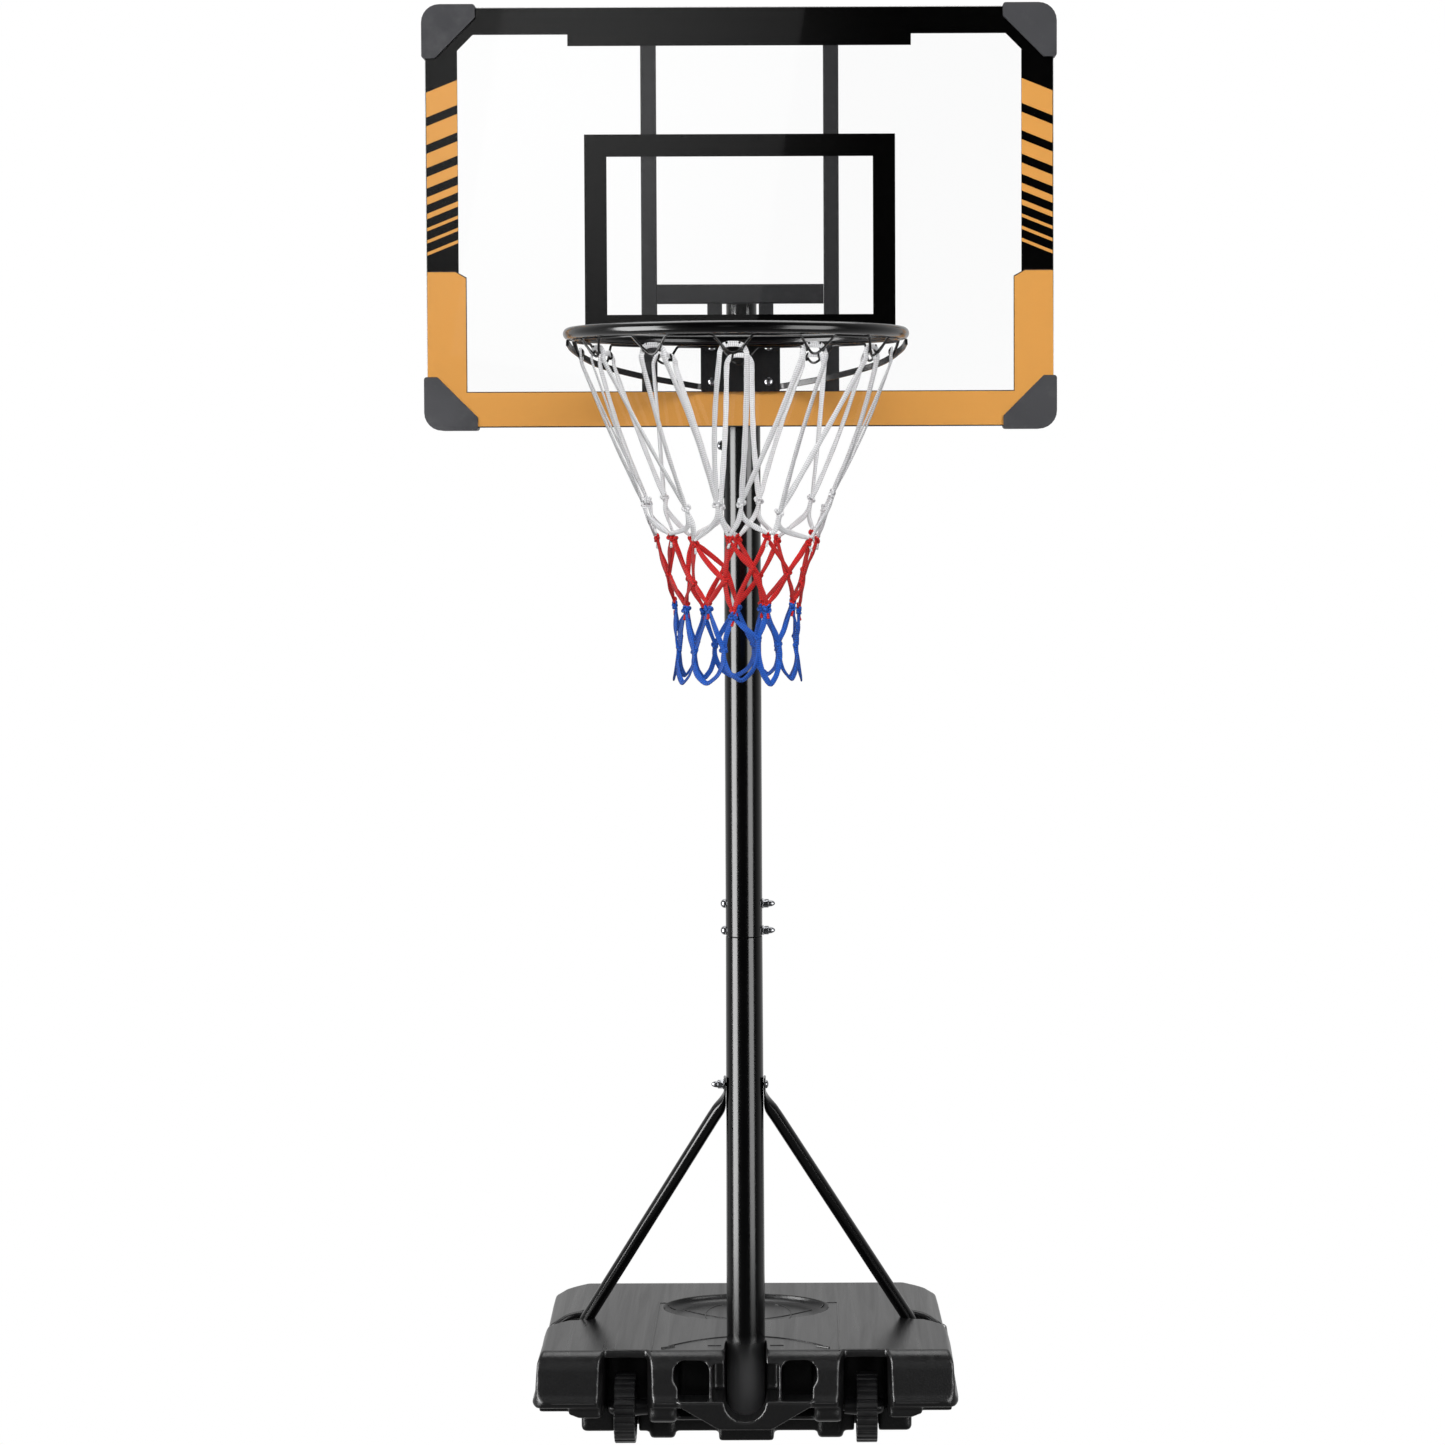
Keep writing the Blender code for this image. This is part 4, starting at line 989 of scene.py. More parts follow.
def make_brackets(paint):
    """The two plates that carry the board on the pole, with their bolt holes."""
    for word, _ in SIDES:
        low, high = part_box(f"bracket_{word}")
        loop = rounded_loop(rectangle(low.y, low.z, high.y, high.z), [0.001, 0.014, 0.014, 0.001], 6)
        made = slab(f"bracket_{word}_plate", [loop], low.x, high.x, "X", paint, 0.0005, 2)
        for level in ("upper", "lower"):
            place = (0, 0, box_centre(f"bracket_bolt_{level}").z)
            bore(made, f"bracket_{word}_{level}_tool", BOLT_HOLE, place, "X", -0.06, 0.06)
        stand_in(bake_modifiers(made, f"bracket_{word}_plate", 30), f"bracket_{word}")
    remove_tools()


# ------------------------------------------------------------------ rim
def around_rim(angle, radius, height):
    """A point about the rim's axis; angle 0, in degrees, is the rim's front."""
    turn = math.radians(angle)
    return np.array([radius * math.sin(turn), RIM_CENTRE.y - radius * math.cos(turn), height])


def make_rim(paint, bright_paint):
    """The ring, its plate, the channel that joins them, and the two flat bars under the ring."""
    def ring_profile(tube, sides):
        turns = [-i / sides * math.tau for i in range(sides)]
        return [(RIM_RADIUS + tube * math.cos(t), tube * math.sin(t)) for t in turns]

    lift = 0.0005
    profile = ring_profile(RIM_TUBE - lift, 28)
    centre = RIM_CENTRE + Vector((0, 0, lift))
    stand_in(turned("rim_ring_bar", profile, centre, "Z", bright_paint, 160, True), "rim_ring")

    loop = rounded_loop(rectangle(PLATE_LOW.x, PLATE_LOW.z, PLATE_HIGH.x, PLATE_HIGH.z), 0.004, 4)
    plate = slab("rim_plate_steel", [loop], PLATE_LOW.y, PLATE_HIGH.y, "Y", paint, 0.0007, 2)
    for level in ("upper", "lower"):
        for word, _ in SIDES:
            hole = box_centre(f"rim_bolt_{level}_{word}")
            place = (hole.x, PLATE_LOW.y, hole.z)
            bore(plate, f"plate_{level}_{word}_tool", BOLT_HOLE, place, "Y", -0.03, 0.03)
    stand_in(bake_modifiers(plate, "rim_plate_steel", 30), "rim_plate")
    remove_tools()

    low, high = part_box("rim_neck")
    wall = 0.003
    channel = [
        (low.x, low.z), (low.x + wall, low.z), (low.x + wall, high.z - wall), (high.x - wall, high.z - wall),
        (high.x - wall, low.z), (high.x, low.z), (high.x, high.z), (low.x, high.z),
    ]
    loop = rounded_loop(channel, [0.0008, 0.0008, 0.002, 0.002, 0.0008, 0.0008, 0.004, 0.004], 4)
    neck = slab("rim_neck_channel", [loop], low.y - 0.012, high.y, "Y", paint)
    profile = ring_profile(RIM_TUBE + 0.0004, 24)
    boolean(neck, turned("neck_saddle_tool", profile, RIM_CENTRE, "Z", paint, 120, True))
    bore(neck, "neck_inside_tool", RIM_RADIUS, RIM_CENTRE, "Z", -0.05, 0.05, 120)
    stand_in(bake_modifiers(neck, "rim_neck_channel", 30), "rim_neck")
    remove_tools()

    bar = rounded_loop(rectangle(-0.0042, -0.0019, 0.0042, 0.0019), 0.0009, 3)
    end_x, end_y, _ = around_rim(100, RIM_RADIUS + 0.009, 0)
    way = [
        (0.0490, PLATE_LOW.y - 0.0024, 0.0634), (0.0600, PLATE_LOW.y - 0.0040, 0.0624),
        (0.0760, -0.1130, 0.0600), (0.138, -0.165, 0.0495), (0.196, -0.235, 0.0350),
        (0.2235, -0.305, 0.0190), (end_x, end_y, 0.0093),
    ]
    for word, side in SIDES:
        path = smooth_path([(side * x, y, RIM_CENTRE.z - drop) for x, y, drop in way], 0.004)
        vertices, faces, _, _ = sweep(path, bar, from_axis(path))
        stand_in(make_object(f"rim_brace_{word}_bar", vertices, faces, paint, angle=30), f"rim_brace_{word}")


def from_axis(points):
    """Level vectors from the rim's axis to each point."""
    return np.stack([points[:, 0], points[:, 1] - RIM_CENTRE.y, np.zeros(len(points))], 1)


def make_hooks(paint):
    """One wire under the rim that dips into a V at each hook, with a curl on each side for the net."""
    radius = RIM_RADIUS - 0.005
    level = RIM_CENTRE.z - 0.0090
    half_dip = [
        (-7.6, 0.0, 0.0), (-6.6, 0.0004, 0.0012), (-5.0, 0.003, 0.0085), (-3.0, 0.007, 0.0170),
        (-1.3, 0.0095, 0.0225),
    ]
    dip = there_and_back(half_dip, (0, 0.0100, 0.0238)) + [(turn, 0, 0) for turn in (11, 15, 19)]
    bundle = Bundle()
    stops = []
    for hook in range(HOOKS):
        middle = hook * 360 / HOOKS
        stops += [around_rim(middle + turn, radius - inward, level - drop) for turn, inward, drop in dip]
    bundle.add(*sweep(smooth_path(stops, 0.0022, True), circle(0.0017, 10), closed=True))
    for hook in range(HOOKS):
        middle = hook * 360 / HOOKS
        for _, side in SIDES:
            curl = [around_rim(middle + side * 4.6, radius - 0.0038, level - 0.0100)]
            for step in range(15):
                turn = math.radians(-70 + step * 18)
                out = 0.0035 * math.sin(turn)
                up = 0.0046 * math.cos(turn)
                angle = middle + side * (3.5 - 0.09 * step)
                curl.append(around_rim(angle, radius - 0.0095 - out, level - 0.0150 - up))
            bundle.add(*sweep(smooth_path(curl, 0.0016), circle(0.0016, 10)))
    stand_in(bundle.build("net_hook_wire_curls", paint), "net_hook_wire")


# ------------------------------------------------------------------ net
def net_radius(height):
    """The net's outline, from the hooks down to the lowest loops."""
    drops = (0.016, 0.031, 0.080, 0.130, 0.180, 0.225, 0.275, 0.325, 0.369, 0.420, 0.480)
    radii = (0.2090, 0.2075, 0.1925, 0.1710, 0.1480, 0.1280, 0.1085, 0.0940, 0.0830, 0.0825, 0.0855)
    return float(np.interp(RIM_CENTRE.z - height, drops, radii))


def net_point(angle, height, proud=0.0):
    """A point on the net's outline, or proud of it."""
    return around_rim(angle, net_radius(height) + proud, height)


def there_and_back(rows, crown):
    """Rows up to a crown, and the same rows mirrored in their first value on the way back."""
    return rows + [crown] + [(-row[0], *row[1:]) for row in reversed(rows)]


class Cord:
    """Lays flat braided cord into a bundle, with serrated edges and a slow twist."""

    def __init__(self, seed):
        self.bundle = Bundle()
        self.random = np.random.default_rng(seed)
        width, thickness = 0.0076, 0.0030
        count = 10
        self.section = [(width / 2 * math.copysign(abs(math.cos(a)) ** 0.7, math.cos(a)),
                         thickness / 2 * math.copysign(abs(math.sin(a)) ** 0.8, math.sin(a)))
                        for a in [i / count * math.tau for i in range(count)]]

    def lay(self, stops, twist=0.5, pinch=(0.55, 0.55)):
        """Cord along the stops; pinch is how narrow it is drawn where it enters a knot at each end."""
        path = smooth_path(stops, 0.0013)
        lengths = lengths_along(path)
        total = lengths[-1]
        out = unit_rows(from_axis(path))
        phase = self.random.uniform(-math.pi, math.pi)
        turn = twist * np.sin(lengths / total * math.pi * self.random.uniform(0.8, 1.6) + phase)
        sideways = np.cross(unit_rows(np.gradient(path, axis=0)), out)
        hints = out * np.cos(turn)[:, None] + sideways * np.sin(turn)[:, None]
        tie = 0.016
        near = np.minimum(np.clip(lengths / tie, 0, 1) * (1 - pinch[0]) + pinch[0],
                          np.clip((total - lengths) / tie, 0, 1) * (1 - pinch[1]) + pinch[1])
        serrated = 1 + 0.035 * np.sign(np.sin(lengths * math.tau / 0.0026))
        swell = 1 + 0.06 * np.sin(lengths / 0.05 * math.tau + phase)
        scales = np.stack([near * serrated * swell, 2 - near], 1)
        self.bundle.add(*sweep(path, self.section, hints, scales=scales))

    def knot(self, place, size=0.0019, tall=1.0):
        """A drawn overhand knot, as a tight trefoil."""
        spin = self.random.uniform(0, math.tau)
        turns = np.arange(54) / 54 * math.tau
        x = (np.sin(turns) + 2 * np.sin(2 * turns)) * size
        y = (np.cos(turns) - 2 * np.cos(2 * turns)) * size * tall
        z = -np.sin(3 * turns) * size * 1.15
        out, sideways = out_and_sideways(place)
        up = np.array([0, 0, 1.0])
        a = x * math.cos(spin) - y * math.sin(spin)
        b = x * math.sin(spin) + y * math.cos(spin)
        path = np.asarray(place) + a[:, None] * sideways + b[:, None] * up + z[:, None] * out
        self.bundle.add(*sweep(path, circle(0.0021, 8, 17 / 21), closed=True))

    def tail(self, place, way, length=0.008, width=0.0030):
        """A cut end that sticks out of a knot."""
        way = np.asarray(way, float)
        way /= np.linalg.norm(way)
        sag = np.array([0, 0, -0.0012])
        path = [np.asarray(place) + way * length * s + sag * s * s for s in np.linspace(0, 1, 7)]
        scales = [(s, s) for s in (1, 1, 1, 1, 1.05, 1.1, 0.9)]
        self.bundle.add(*sweep(path, circle(width / 2, 8), scales=scales))


def out_and_sideways(place):
    """Level unit vectors away from the rim's axis and round it."""
    out = np.array([place[0], place[1] - RIM_CENTRE.y, 0.0])
    out /= np.linalg.norm(out)
    return out, np.array([-out[1], out[0], 0.0])


def bulge(start, end, out, steps=5, slack=0.0):
    """Stops between two points of the net, pushed outward in the middle and bowed sideways."""
    outward, sideways = out_and_sideways((start + end) / 2)
    stops = []
    for s in np.linspace(0, 1, steps):
        lift = math.sin(s * math.pi)
        stops.append(start + (end - start) * s + outward * out * lift + sideways * slack * lift)
    return stops


def make_net(white, red, blue):
    """Five courses of knots below the hooks, joined by white, red and blue cord."""
    rng = np.random.default_rng(11)
    white_cord, red_cord, blue_cord = Cord(3), Cord(4), Cord(5)
    step = 360 / HOOKS

    def jitter(amount):
        return rng.uniform(-amount, amount)

    def course(offset, leans, angle_play, drop, height_play):
        """The angle and the height of each knot of one course."""
        return [(step * (k + offset) + leans[k] + jitter(angle_play),
                 RIM_CENTRE.z - drop + jitter(height_play)) for k in range(HOOKS)]

    def knot_at(knots, k):
        """A knot's angle and height; the angle runs on where k passes the end of the course."""
        rounds, index = divmod(k, HOOKS)
        angle, height = knots[index]
        return angle + 360 * rounds, height

    drawn = (-10, -17, 2, 5, -8, 3, -4, 7, -5, -3, 12, 4)
    even = (2,) * HOOKS
    first = course(0.5, drawn, 2, 0.226, 0.013)
    second = course(0, [lean * 0.3 for lean in drawn], 5, 0.274, 0.006)
    third = course(0.5, even, 6, 0.323, 0.010)
    fourth = course(0, even, 6, 0.367, 0.007)
    fifth = course(0.5, even, 6, 0.416, 0.010)

    loop_level = RIM_CENTRE.z - 0.0255
    loop_radius = RIM_RADIUS - 0.0165
    loop = there_and_back([
        (-4.9, 0.0, -0.014), (-4.6, 0.0005, -0.005), (-3.4, 0.001, 0.002), (-1.7, 0.0005, 0.0044),
    ], (0, 0.0, 0.0046))
    for k in range(HOOKS):
        top = [around_rim(step * k + turn, loop_radius + outward, loop_level + rise)
               for turn, outward, rise in loop]
        legs = []
        for start, (angle, height) in ((top[0], knot_at(first, k - 1)), (top[-1], knot_at(first, k))):
            bow, lean = 0.004 + jitter(0.004), jitter(0.006)
            legs.append(bulge(start, net_point(angle, height, 0.001), bow, steps=7, slack=lean)[1:])
        white_cord.lay(legs[0][::-1] + top + legs[1], 0.35, (0.6, 0.6))
    for k in range(HOOKS):
        angle, height = first[k]
        white_cord.knot(net_point(angle, height), 0.00175, 1.15)
        left_angle, left_height = second[k]
        white_cord.lay([net_point(angle + 0.5, height - 0.002, 0.002),
                        net_point(angle - 1.5, height - 0.024, 0.003),
                        net_point(left_angle + 1.0, left_height + 0.004, 0.001)], 0.4)
        right_angle, right_height = knot_at(second, k + 1)
        white_cord.lay([net_point(angle - 0.5, height - 0.002, -0.001),
                        net_point(angle + 2.5, height - 0.022, 0.002),
                        net_point(right_angle - 1.0, right_height + 0.004, 0.0)], 0.4)

    def to_crossings(cord, knot, knots, k, spread, drop, out, play, twist):
        """Two cords from a knot down to the crossings on either side of it."""
        angle, height = knot
        for way, index in ((-1, k - 1), (1, k)):
            cross_angle, cross_height = knot_at(knots, index)
            start = net_point(angle + way * spread, height - drop)
            end = net_point(cross_angle, cross_height, way * 0.0016)
            cord.lay(bulge(start, end, out, slack=jitter(play)), twist, (0.6, 0.8))

    for k in range(HOOKS):
        place = net_point(*second[k])
        red_cord.knot(place, 0.0018, 1.0)
        out = place - np.array([RIM_CENTRE.x, RIM_CENTRE.y, place[2]])
        way = (jitter(0.5), jitter(0.3) - 0.2, -1)
        white_cord.tail(place + np.array([0.001, 0, -0.006]), way, 0.007, 0.0034)
        white_cord.tail(place + np.array([0.0, 0, 0.004]), (-out[1] * 4, out[0] * 4, 0.6), 0.006, 0.003)
        to_crossings(red_cord, second[k], third, k, 0.6, 0.004, 0.001, 0.002, 0.5)
    for k in range(HOOKS):
        cross_angle, cross_height = third[k]
        red_cord.knot(net_point(cross_angle, cross_height), 0.00125, 1.3)
        for way, index in ((-1, k), (1, k + 1)):
            angle, height = knot_at(fourth, index)
            start = net_point(cross_angle, cross_height, -way * 0.0016)
            end = net_point(angle - way * 0.6, height + 0.004)
            red_cord.lay(bulge(start, end, 0.001, slack=jitter(0.002)), 0.5, (0.8, 0.6))
    for k in range(HOOKS):
        place = net_point(*fourth[k])
        red_cord.knot(place + np.array([0, 0, 0.004]), 0.0012, 1.0)
        blue_cord.knot(place + np.array([0, 0, -0.003]), 0.0018, 1.0)
        red_cord.tail(place + np.array([0, 0, -0.010]), (jitter(0.4), -0.3, -1), 0.006, 0.0040)
        to_crossings(blue_cord, fourth[k], fifth, k, 0.8, 0.007, 0.002, 0.003, 0.6)
    for k in range(HOOKS):
        blue_cord.knot(net_point(*fifth[k]), 0.00135, 1.25)
    for k in range(HOOKS):
        left_angle, left_height = knot_at(fifth, k - 1)
        right_angle, right_height = fifth[k]
        rng.uniform()  # unused, so that the draws after it stay as they are
        bottom = NET_LOW + 0.0005 + abs(jitter(0.006))
        stops = [net_point(left_angle, left_height, -0.0015)]
        for share, turn in ((0.35, 0.22), (0.72, 0.30), (0.93, 0.42), (1.0, 0.5),
                            (0.93, 0.58), (0.72, 0.70), (0.35, 0.78)):
            height = left_height if turn < 0.5 else right_height
            angle = left_angle + (right_angle - left_angle) * (0.5 + (turn - 0.5) * 1.75)
            stops.append(net_point(angle, height + (bottom - height) * share, 0.0012))
        stops.append(net_point(right_angle, right_height, 0.0015))
        blue_cord.lay(stops, 0.7, (0.75, 0.75))
    for cord, name, finish in ((white_cord, "net_white", white), (red_cord, "net_red", red),
                               (blue_cord, "net_blue", blue)):
        stand_in(cord.bundle.build(f"{name}_braid", finish, 60), name)


# ------------------------------------------------------------------ tank and wheels
def make_tank(plastic):
    """The blow-moulded tank: blocks joined and cut, remeshed and relaxed until its edges are round."""
    half, front, rear, top = TANK_HALF, -0.075, TANK_HIGH.y, TANK_HIGH.z
    over_top = top + 0.0012
    floor = -0.0012
    far = 0.2

    def mirror_cut(name, outline, low, high, across, kind="DIFFERENCE"):
        for word, side in SIDES:
            shape = mirrored(outline, side)
            boolean(tank, slab(f"{name}_{word}_tool", [shape], low, high, across), kind)

    def blocks(kind, rows):
        for name, low, high, bevel in rows:
            boolean(tank, block(f"tank_{name}_tool", low, high, bevel=bevel), kind)

    def pair(name, inner, outer, low, high, bevel):
        """A block on each side, between two distances from the middle and two (y, z) corners."""
        rows = []
        for word, side in SIDES:
            low_x, high_x = sorted((side * inner, side * outer))
            rows.append((f"{name}_{word}", (low_x, *low), (high_x, *high), bevel))
        return rows

    front_section = [
        (half - 0.006, PARTING_Z - 0.008), (half, PARTING_Z - 0.002), (half - 0.001, PARTING_Z + 0.002),
        (half - 0.005, PARTING_Z + 0.009), (half - 0.008, top - 0.016), (half - 0.014, over_top),
    ]
    rear_section = [
        (half - 0.006, PARTING_Z - 0.008), (half, PARTING_Z), (half - 0.006, PARTING_Z + 0.030),
        (half - 0.011, top - 0.024), (half - 0.029, top - 0.012), (half - 0.066, over_top),
    ]
    front_rounding = [0.003, 0.001, 0.001, 0.003, 0.006, 0.009]
    rear_rounding = [0.003, 0.001, 0.006, 0.006, 0.010, 0.020]
    front_loop = rounded_loop(both_sides(front_section), front_rounding + front_rounding[::-1])
    rear_loop = rounded_loop(both_sides(rear_section), rear_rounding + rear_rounding[::-1])
    tank = slab("tank_blank", [front_loop], front, 0.132, "Y", plastic)
    boolean(tank, slab("tank_rear_tool", [rear_loop], 0.127, rear, "Y"), "UNION")
    profile = [
        (front + 0.004, PARTING_Z - 0.010), (rear - 0.004, PARTING_Z - 0.010), (rear, PARTING_Z),
        (rear - 0.010, top - 0.030), (rear - 0.022, top - 0.008), (rear - 0.036, over_top),
        (front + 0.010, over_top), (front + 0.004, PARTING_Z + 0.008), (front, PARTING_Z + 0.002),
    ]
    side_loop = rounded_loop(profile, [0.002, 0.002, 0.002, 0.010, 0.012, 0.016, 0.027, 0.003, 0.001], 6)
    boolean(tank, slab("tank_side_tool", [side_loop], -half - 0.1, half + 0.1, "X"), "INTERSECT")
    plan = rounded_loop(rectangle(-half - 0.001, front - 0.001, half + 0.001, rear + 0.001), 0.027, 6)
    boolean(tank, slab("tank_plan_tool", [plan], -0.1, 0.3, "Z"), "INTERSECT")

    mirror_cut("shoulder", [(0.262, 0.140), (0.335, 0.140), (0.335, 0.058)], 0.116, 0.3, "Z")
    under_deck = 0.090
    blocks("UNION", [
        ("tray", (-0.246, 0.019, 0.010), (0.246, 0.385, under_deck), 0.006),
        ("front_block", (-0.143, -0.036, 0.042), (0.143, 0.060, under_deck), 0.006),
        ("foot_centre", (-0.041, 0.006, floor), (0.041, 0.110, 0.050), 0.004),
    ])
    for rows in zip(
        pair("foot", 0.105, 0.145, (0.016, floor), (0.110, 0.050), 0.009),
        pair("pillar", 0.099, 0.143, (-0.064, 0.044), (0.060, under_deck), 0.012),
        pair("rear_foot", 0.180, 0.240, (0.300, floor), (0.380, 0.030), 0.004),
        pair("tab", 0.240, 0.303, (-0.050, 0.0594), (0.010, 0.080), 0.001),
    ):
        blocks("UNION", rows)
    flange_step = [(0.2095, 0.0535), (0.2436, 0.0535), (0.2590, 0.0594), (0.2590, 0.090), (0.2095, 0.090)]
    mirror_cut("drop", flange_step, -0.064, 0.060, "Y", "UNION")
    keyhole_x = 0.0530
    for rows in zip(
        pair("well", 0.144, 0.209, (-far, 0.046), (0.056, top - 0.012), 0.006),
        pair("wheel_slot", 0.1605, 0.1965, (-far, -0.1), (0.058, 0.060), 0.001),
        pair("keyhole_sink", keyhole_x, 0.100, (-0.064, 0.050), (0.040, 0.128), 0.003),
    ):
        blocks("DIFFERENCE", rows)
    blocks("DIFFERENCE", [("chest", (-0.0485, -far, 0.0815), (0.0485, -0.006, 0.1330), 0.004)])
    flare = [(0.131, -0.085), (0.220, -0.085), (0.2070, -0.046), (0.1450, -0.046)]
    mirror_cut("flare", flare, -0.1, top + 0.1, "Z")
    keyhole = rounded_loop(
        [(keyhole_x, 0.079), (keyhole_x, 0.1385), (0.1030, 0.1385), (0.1050, 0.112), (0.0985, 0.100),
         (0.0975, 0.079)], [0.002, 0.016, 0.017, 0.012, 0.010, 0.002], 5)
    pocket = rounded_loop([(0.236, 0.150), (0.262, 0.134), (0.345, 0.112), (0.345, 0.192), (0.288, 0.194),
                           (0.240, 0.192)], 0.006, 3)
    for word, side in SIDES:
        loop = mirrored(keyhole[::-1], side)
        boolean(tank, slab(f"keyhole_{word}_tool", [loop], -far, 0.030, "Y"))
        boolean(tank, slab(f"pocket_{word}_tool", [mirrored(pocket, side)], 0.1068, 0.3, "Z"))
    boolean(tank, block("channel_tool", (-0.0300, -far, 0.021), (0.0300, 0.0, 0.3)))
    bore(tank, "socket_tool", 0.0302, (0, 0, 0.021), "Z", 0.0, 0.3, 48)
    bore(tank, "axle_tool", 0.0070, (0, 0, 0.0522), "X", -0.17, 0.17, 32)
    lip = both_sides([(-0.0985, 0.0815), (-0.094, 0.072), (-0.0385, 0.0395)])
    boolean(tank, slab("lip_tool", [lip], front - 0.0035, -0.036, "Y"), "UNION")
    bore(tank, "notch_tool", 0.0300, (0, -0.19, 0.0815), "Y", 0, 0.16, 48)
    dish_radius = 0.128
    dish = [(0, 0.03), (dish_radius, 0.03)]
    for turn in [math.radians(a) for a in (0, 30, 60, 90)]:
        dish.append((dish_radius - 0.020 * (1 - math.cos(turn)), -0.0115 * math.sin(turn)))
    dish.append((0, -0.0125))
    bowl = turned("dish_tool", dish, (0, 0, 0), "Z", plastic, 96)
    bowl.data.transform(Matrix.Translation((0, DISH_Y, top)) @ Matrix.Diagonal((1, 0.66, 1, 1)))
    boolean(tank, bowl)
    cap = box_centre("fill_cap")
    recess = (cap.x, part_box("cap_seal")[0].y - 0.0003, cap.z)
    bore(tank, "cap_tool", 0.0305, recess, "Y", 0, 0.05, 48)
    bore(tank, "neck_tool", 0.018, recess, "Y", -0.012, 0.05, 48)

    remesh = tank.modifiers.new("voxels", "REMESH")
    remesh.mode = "VOXEL"
    remesh.voxel_size = 0.0021
    relax = tank.modifiers.new("relax", "SMOOTH")
    relax.factor = 0.5
    relax.iterations = 10
    tank = bake_modifiers(tank, "tank_shell", 180)
    remove_tools()
    settle_tank(tank)
    tank.data.materials.clear()
    tank.data.materials.append(plastic)
    stand_in(tank, "base_tank")

    ridge = [
        (0.243, 0.183, 0.1380), (0.250, 0.179, 0.1465), (0.262, 0.175, 0.1470), (0.276, 0.169, 0.1435),
        (0.289, 0.161, 0.1350), (0.297, 0.153, 0.1240), (0.301, 0.147, 0.1080),
    ]
    for word, side in SIDES:
        rib = Bundle()
        path = smooth_path([(side * x - 0.0025, y, z) for x, y, z in ridge], 0.003)
        rib.add(*sweep(path, circle(0.0050, 18)))
        strap = rib.build(f"pocket_rib_{word}", plastic)
        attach(strap, "stand")
    return tank


def settle_tank(tank):
    """Keeps the shell inside the CAD tank's box, and leans its rear a little to the left."""
    points = np.zeros(len(tank.data.vertices) * 3, np.float32)
    tank.data.vertices.foreach_get("co", points)
    points = points.reshape(-1, 3)
    points = np.clip(points, np.array(TANK_LOW) - (0, 0.002, 0), np.array(TANK_HIGH))
    points[:, 0] -= 0.020 * np.clip(points[:, 1] - 0.04, 0, None)
    tank.data.vertices.foreach_set("co", points.ravel())
    tank.data.update()


def make_deck_lines(tank, plastic):
    """Raised seams moulded into the deck: two straight lines, the ball's curves, and the front arc."""
    tree = BVHTree.FromObject(tank, bpy.context.evaluated_depsgraph_get())
    bundle = Bundle()
    seam = 0.0011

    def deck_height(x, y):
        hit = tree.ray_cast(Vector((x, y, 0.5)), Vector((0, 0, -1)))
        return hit[0].z if hit[0] is not None else TANK_HIGH.z

    def bead(points, radius):
        path = smooth_path([(x, y, deck_height(x, y)) for x, y in points], 0.003)
        bundle.add(*sweep(path, circle(radius, 8)))

    line_x, line_end = 0.138, 0.235
    for _, side in SIDES:
        bead([(side * line_x, y) for y in np.linspace(-0.050, line_end, 20)], 0.0014)
        bead([(side * (line_x - 0.026 * t), line_end) for t in np.linspace(0, 1, 6)], 0.0008)
    ball_x, ball_y = 0.1152, 0.07605
    bead([(ball_x * math.cos(t), DISH_Y + ball_y * math.sin(t))
          for t in np.linspace(math.radians(205), math.radians(335), 40)], seam)
    bead([(-0.098 + 0.196 * t, DISH_Y + 0.024 - 0.055 * math.sin(t * math.pi))
          for t in np.linspace(0, 1, 40)], seam)
    for _, side in SIDES:
        bead([(side * (0.036 + 0.030 * math.cos(t)), DISH_Y + 0.060 * math.sin(t))
              for t in np.linspace(math.radians(-80), math.radians(80), 30)], seam)
    bead([(-0.120 + 0.240 * t, -0.034 + 0.066 * math.sin(t * math.pi) ** 0.8)
          for t in np.linspace(0.03, 0.97, 50)], 0.0013)
    for _, side in SIDES:
        bead([(side * (0.105 + 0.018 * t), -0.026 - 0.012 * t) for t in np.linspace(0, 1, 6)], 0.0022)
        bead([(side * (0.036 + 0.020 * t), -0.022) for t in np.linspace(0, 1, 5)], 0.0010)
    made = bundle.build("deck_seams", plastic)
    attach(made, "stand")


def make_parting_line(plastic):
    """The thin flash where the halves of the mould met, round the tank but not across its openings."""
    front, rear = -0.0735, TANK_HIGH.y - 0.0015
    half = TANK_HALF - 0.0016
    loop = rounded_loop(rectangle(-half, front, half, rear), 0.031, 8)
    points = []
    for index, (x, y) in enumerate(loop):
        following = loop[(index + 1) % len(loop)]
        steps = max(1, int(math.dist((x, y), following) / 0.01))
        for step in range(steps):
            share = step / steps
            points.append((x + (following[0] - x) * share, y + (following[1] - y) * share))
    runs = [[]]
    for x, y in points:
        if y < 0.06 and (0.140 < abs(x) < 0.212 or abs(x) < 0.1):
            runs.append([])
        else:
            runs[-1].append((x, y, PARTING_Z))
    bundle = Bundle()
    for run in runs:
        if len(run) > 3:
            bundle.add(*sweep(run, [(0.0012, 0), (0, 0.0009), (-0.0012, 0), (0, -0.0009)]))
    made = bundle.build("tank_parting_flash", plastic)
    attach(made, "stand")


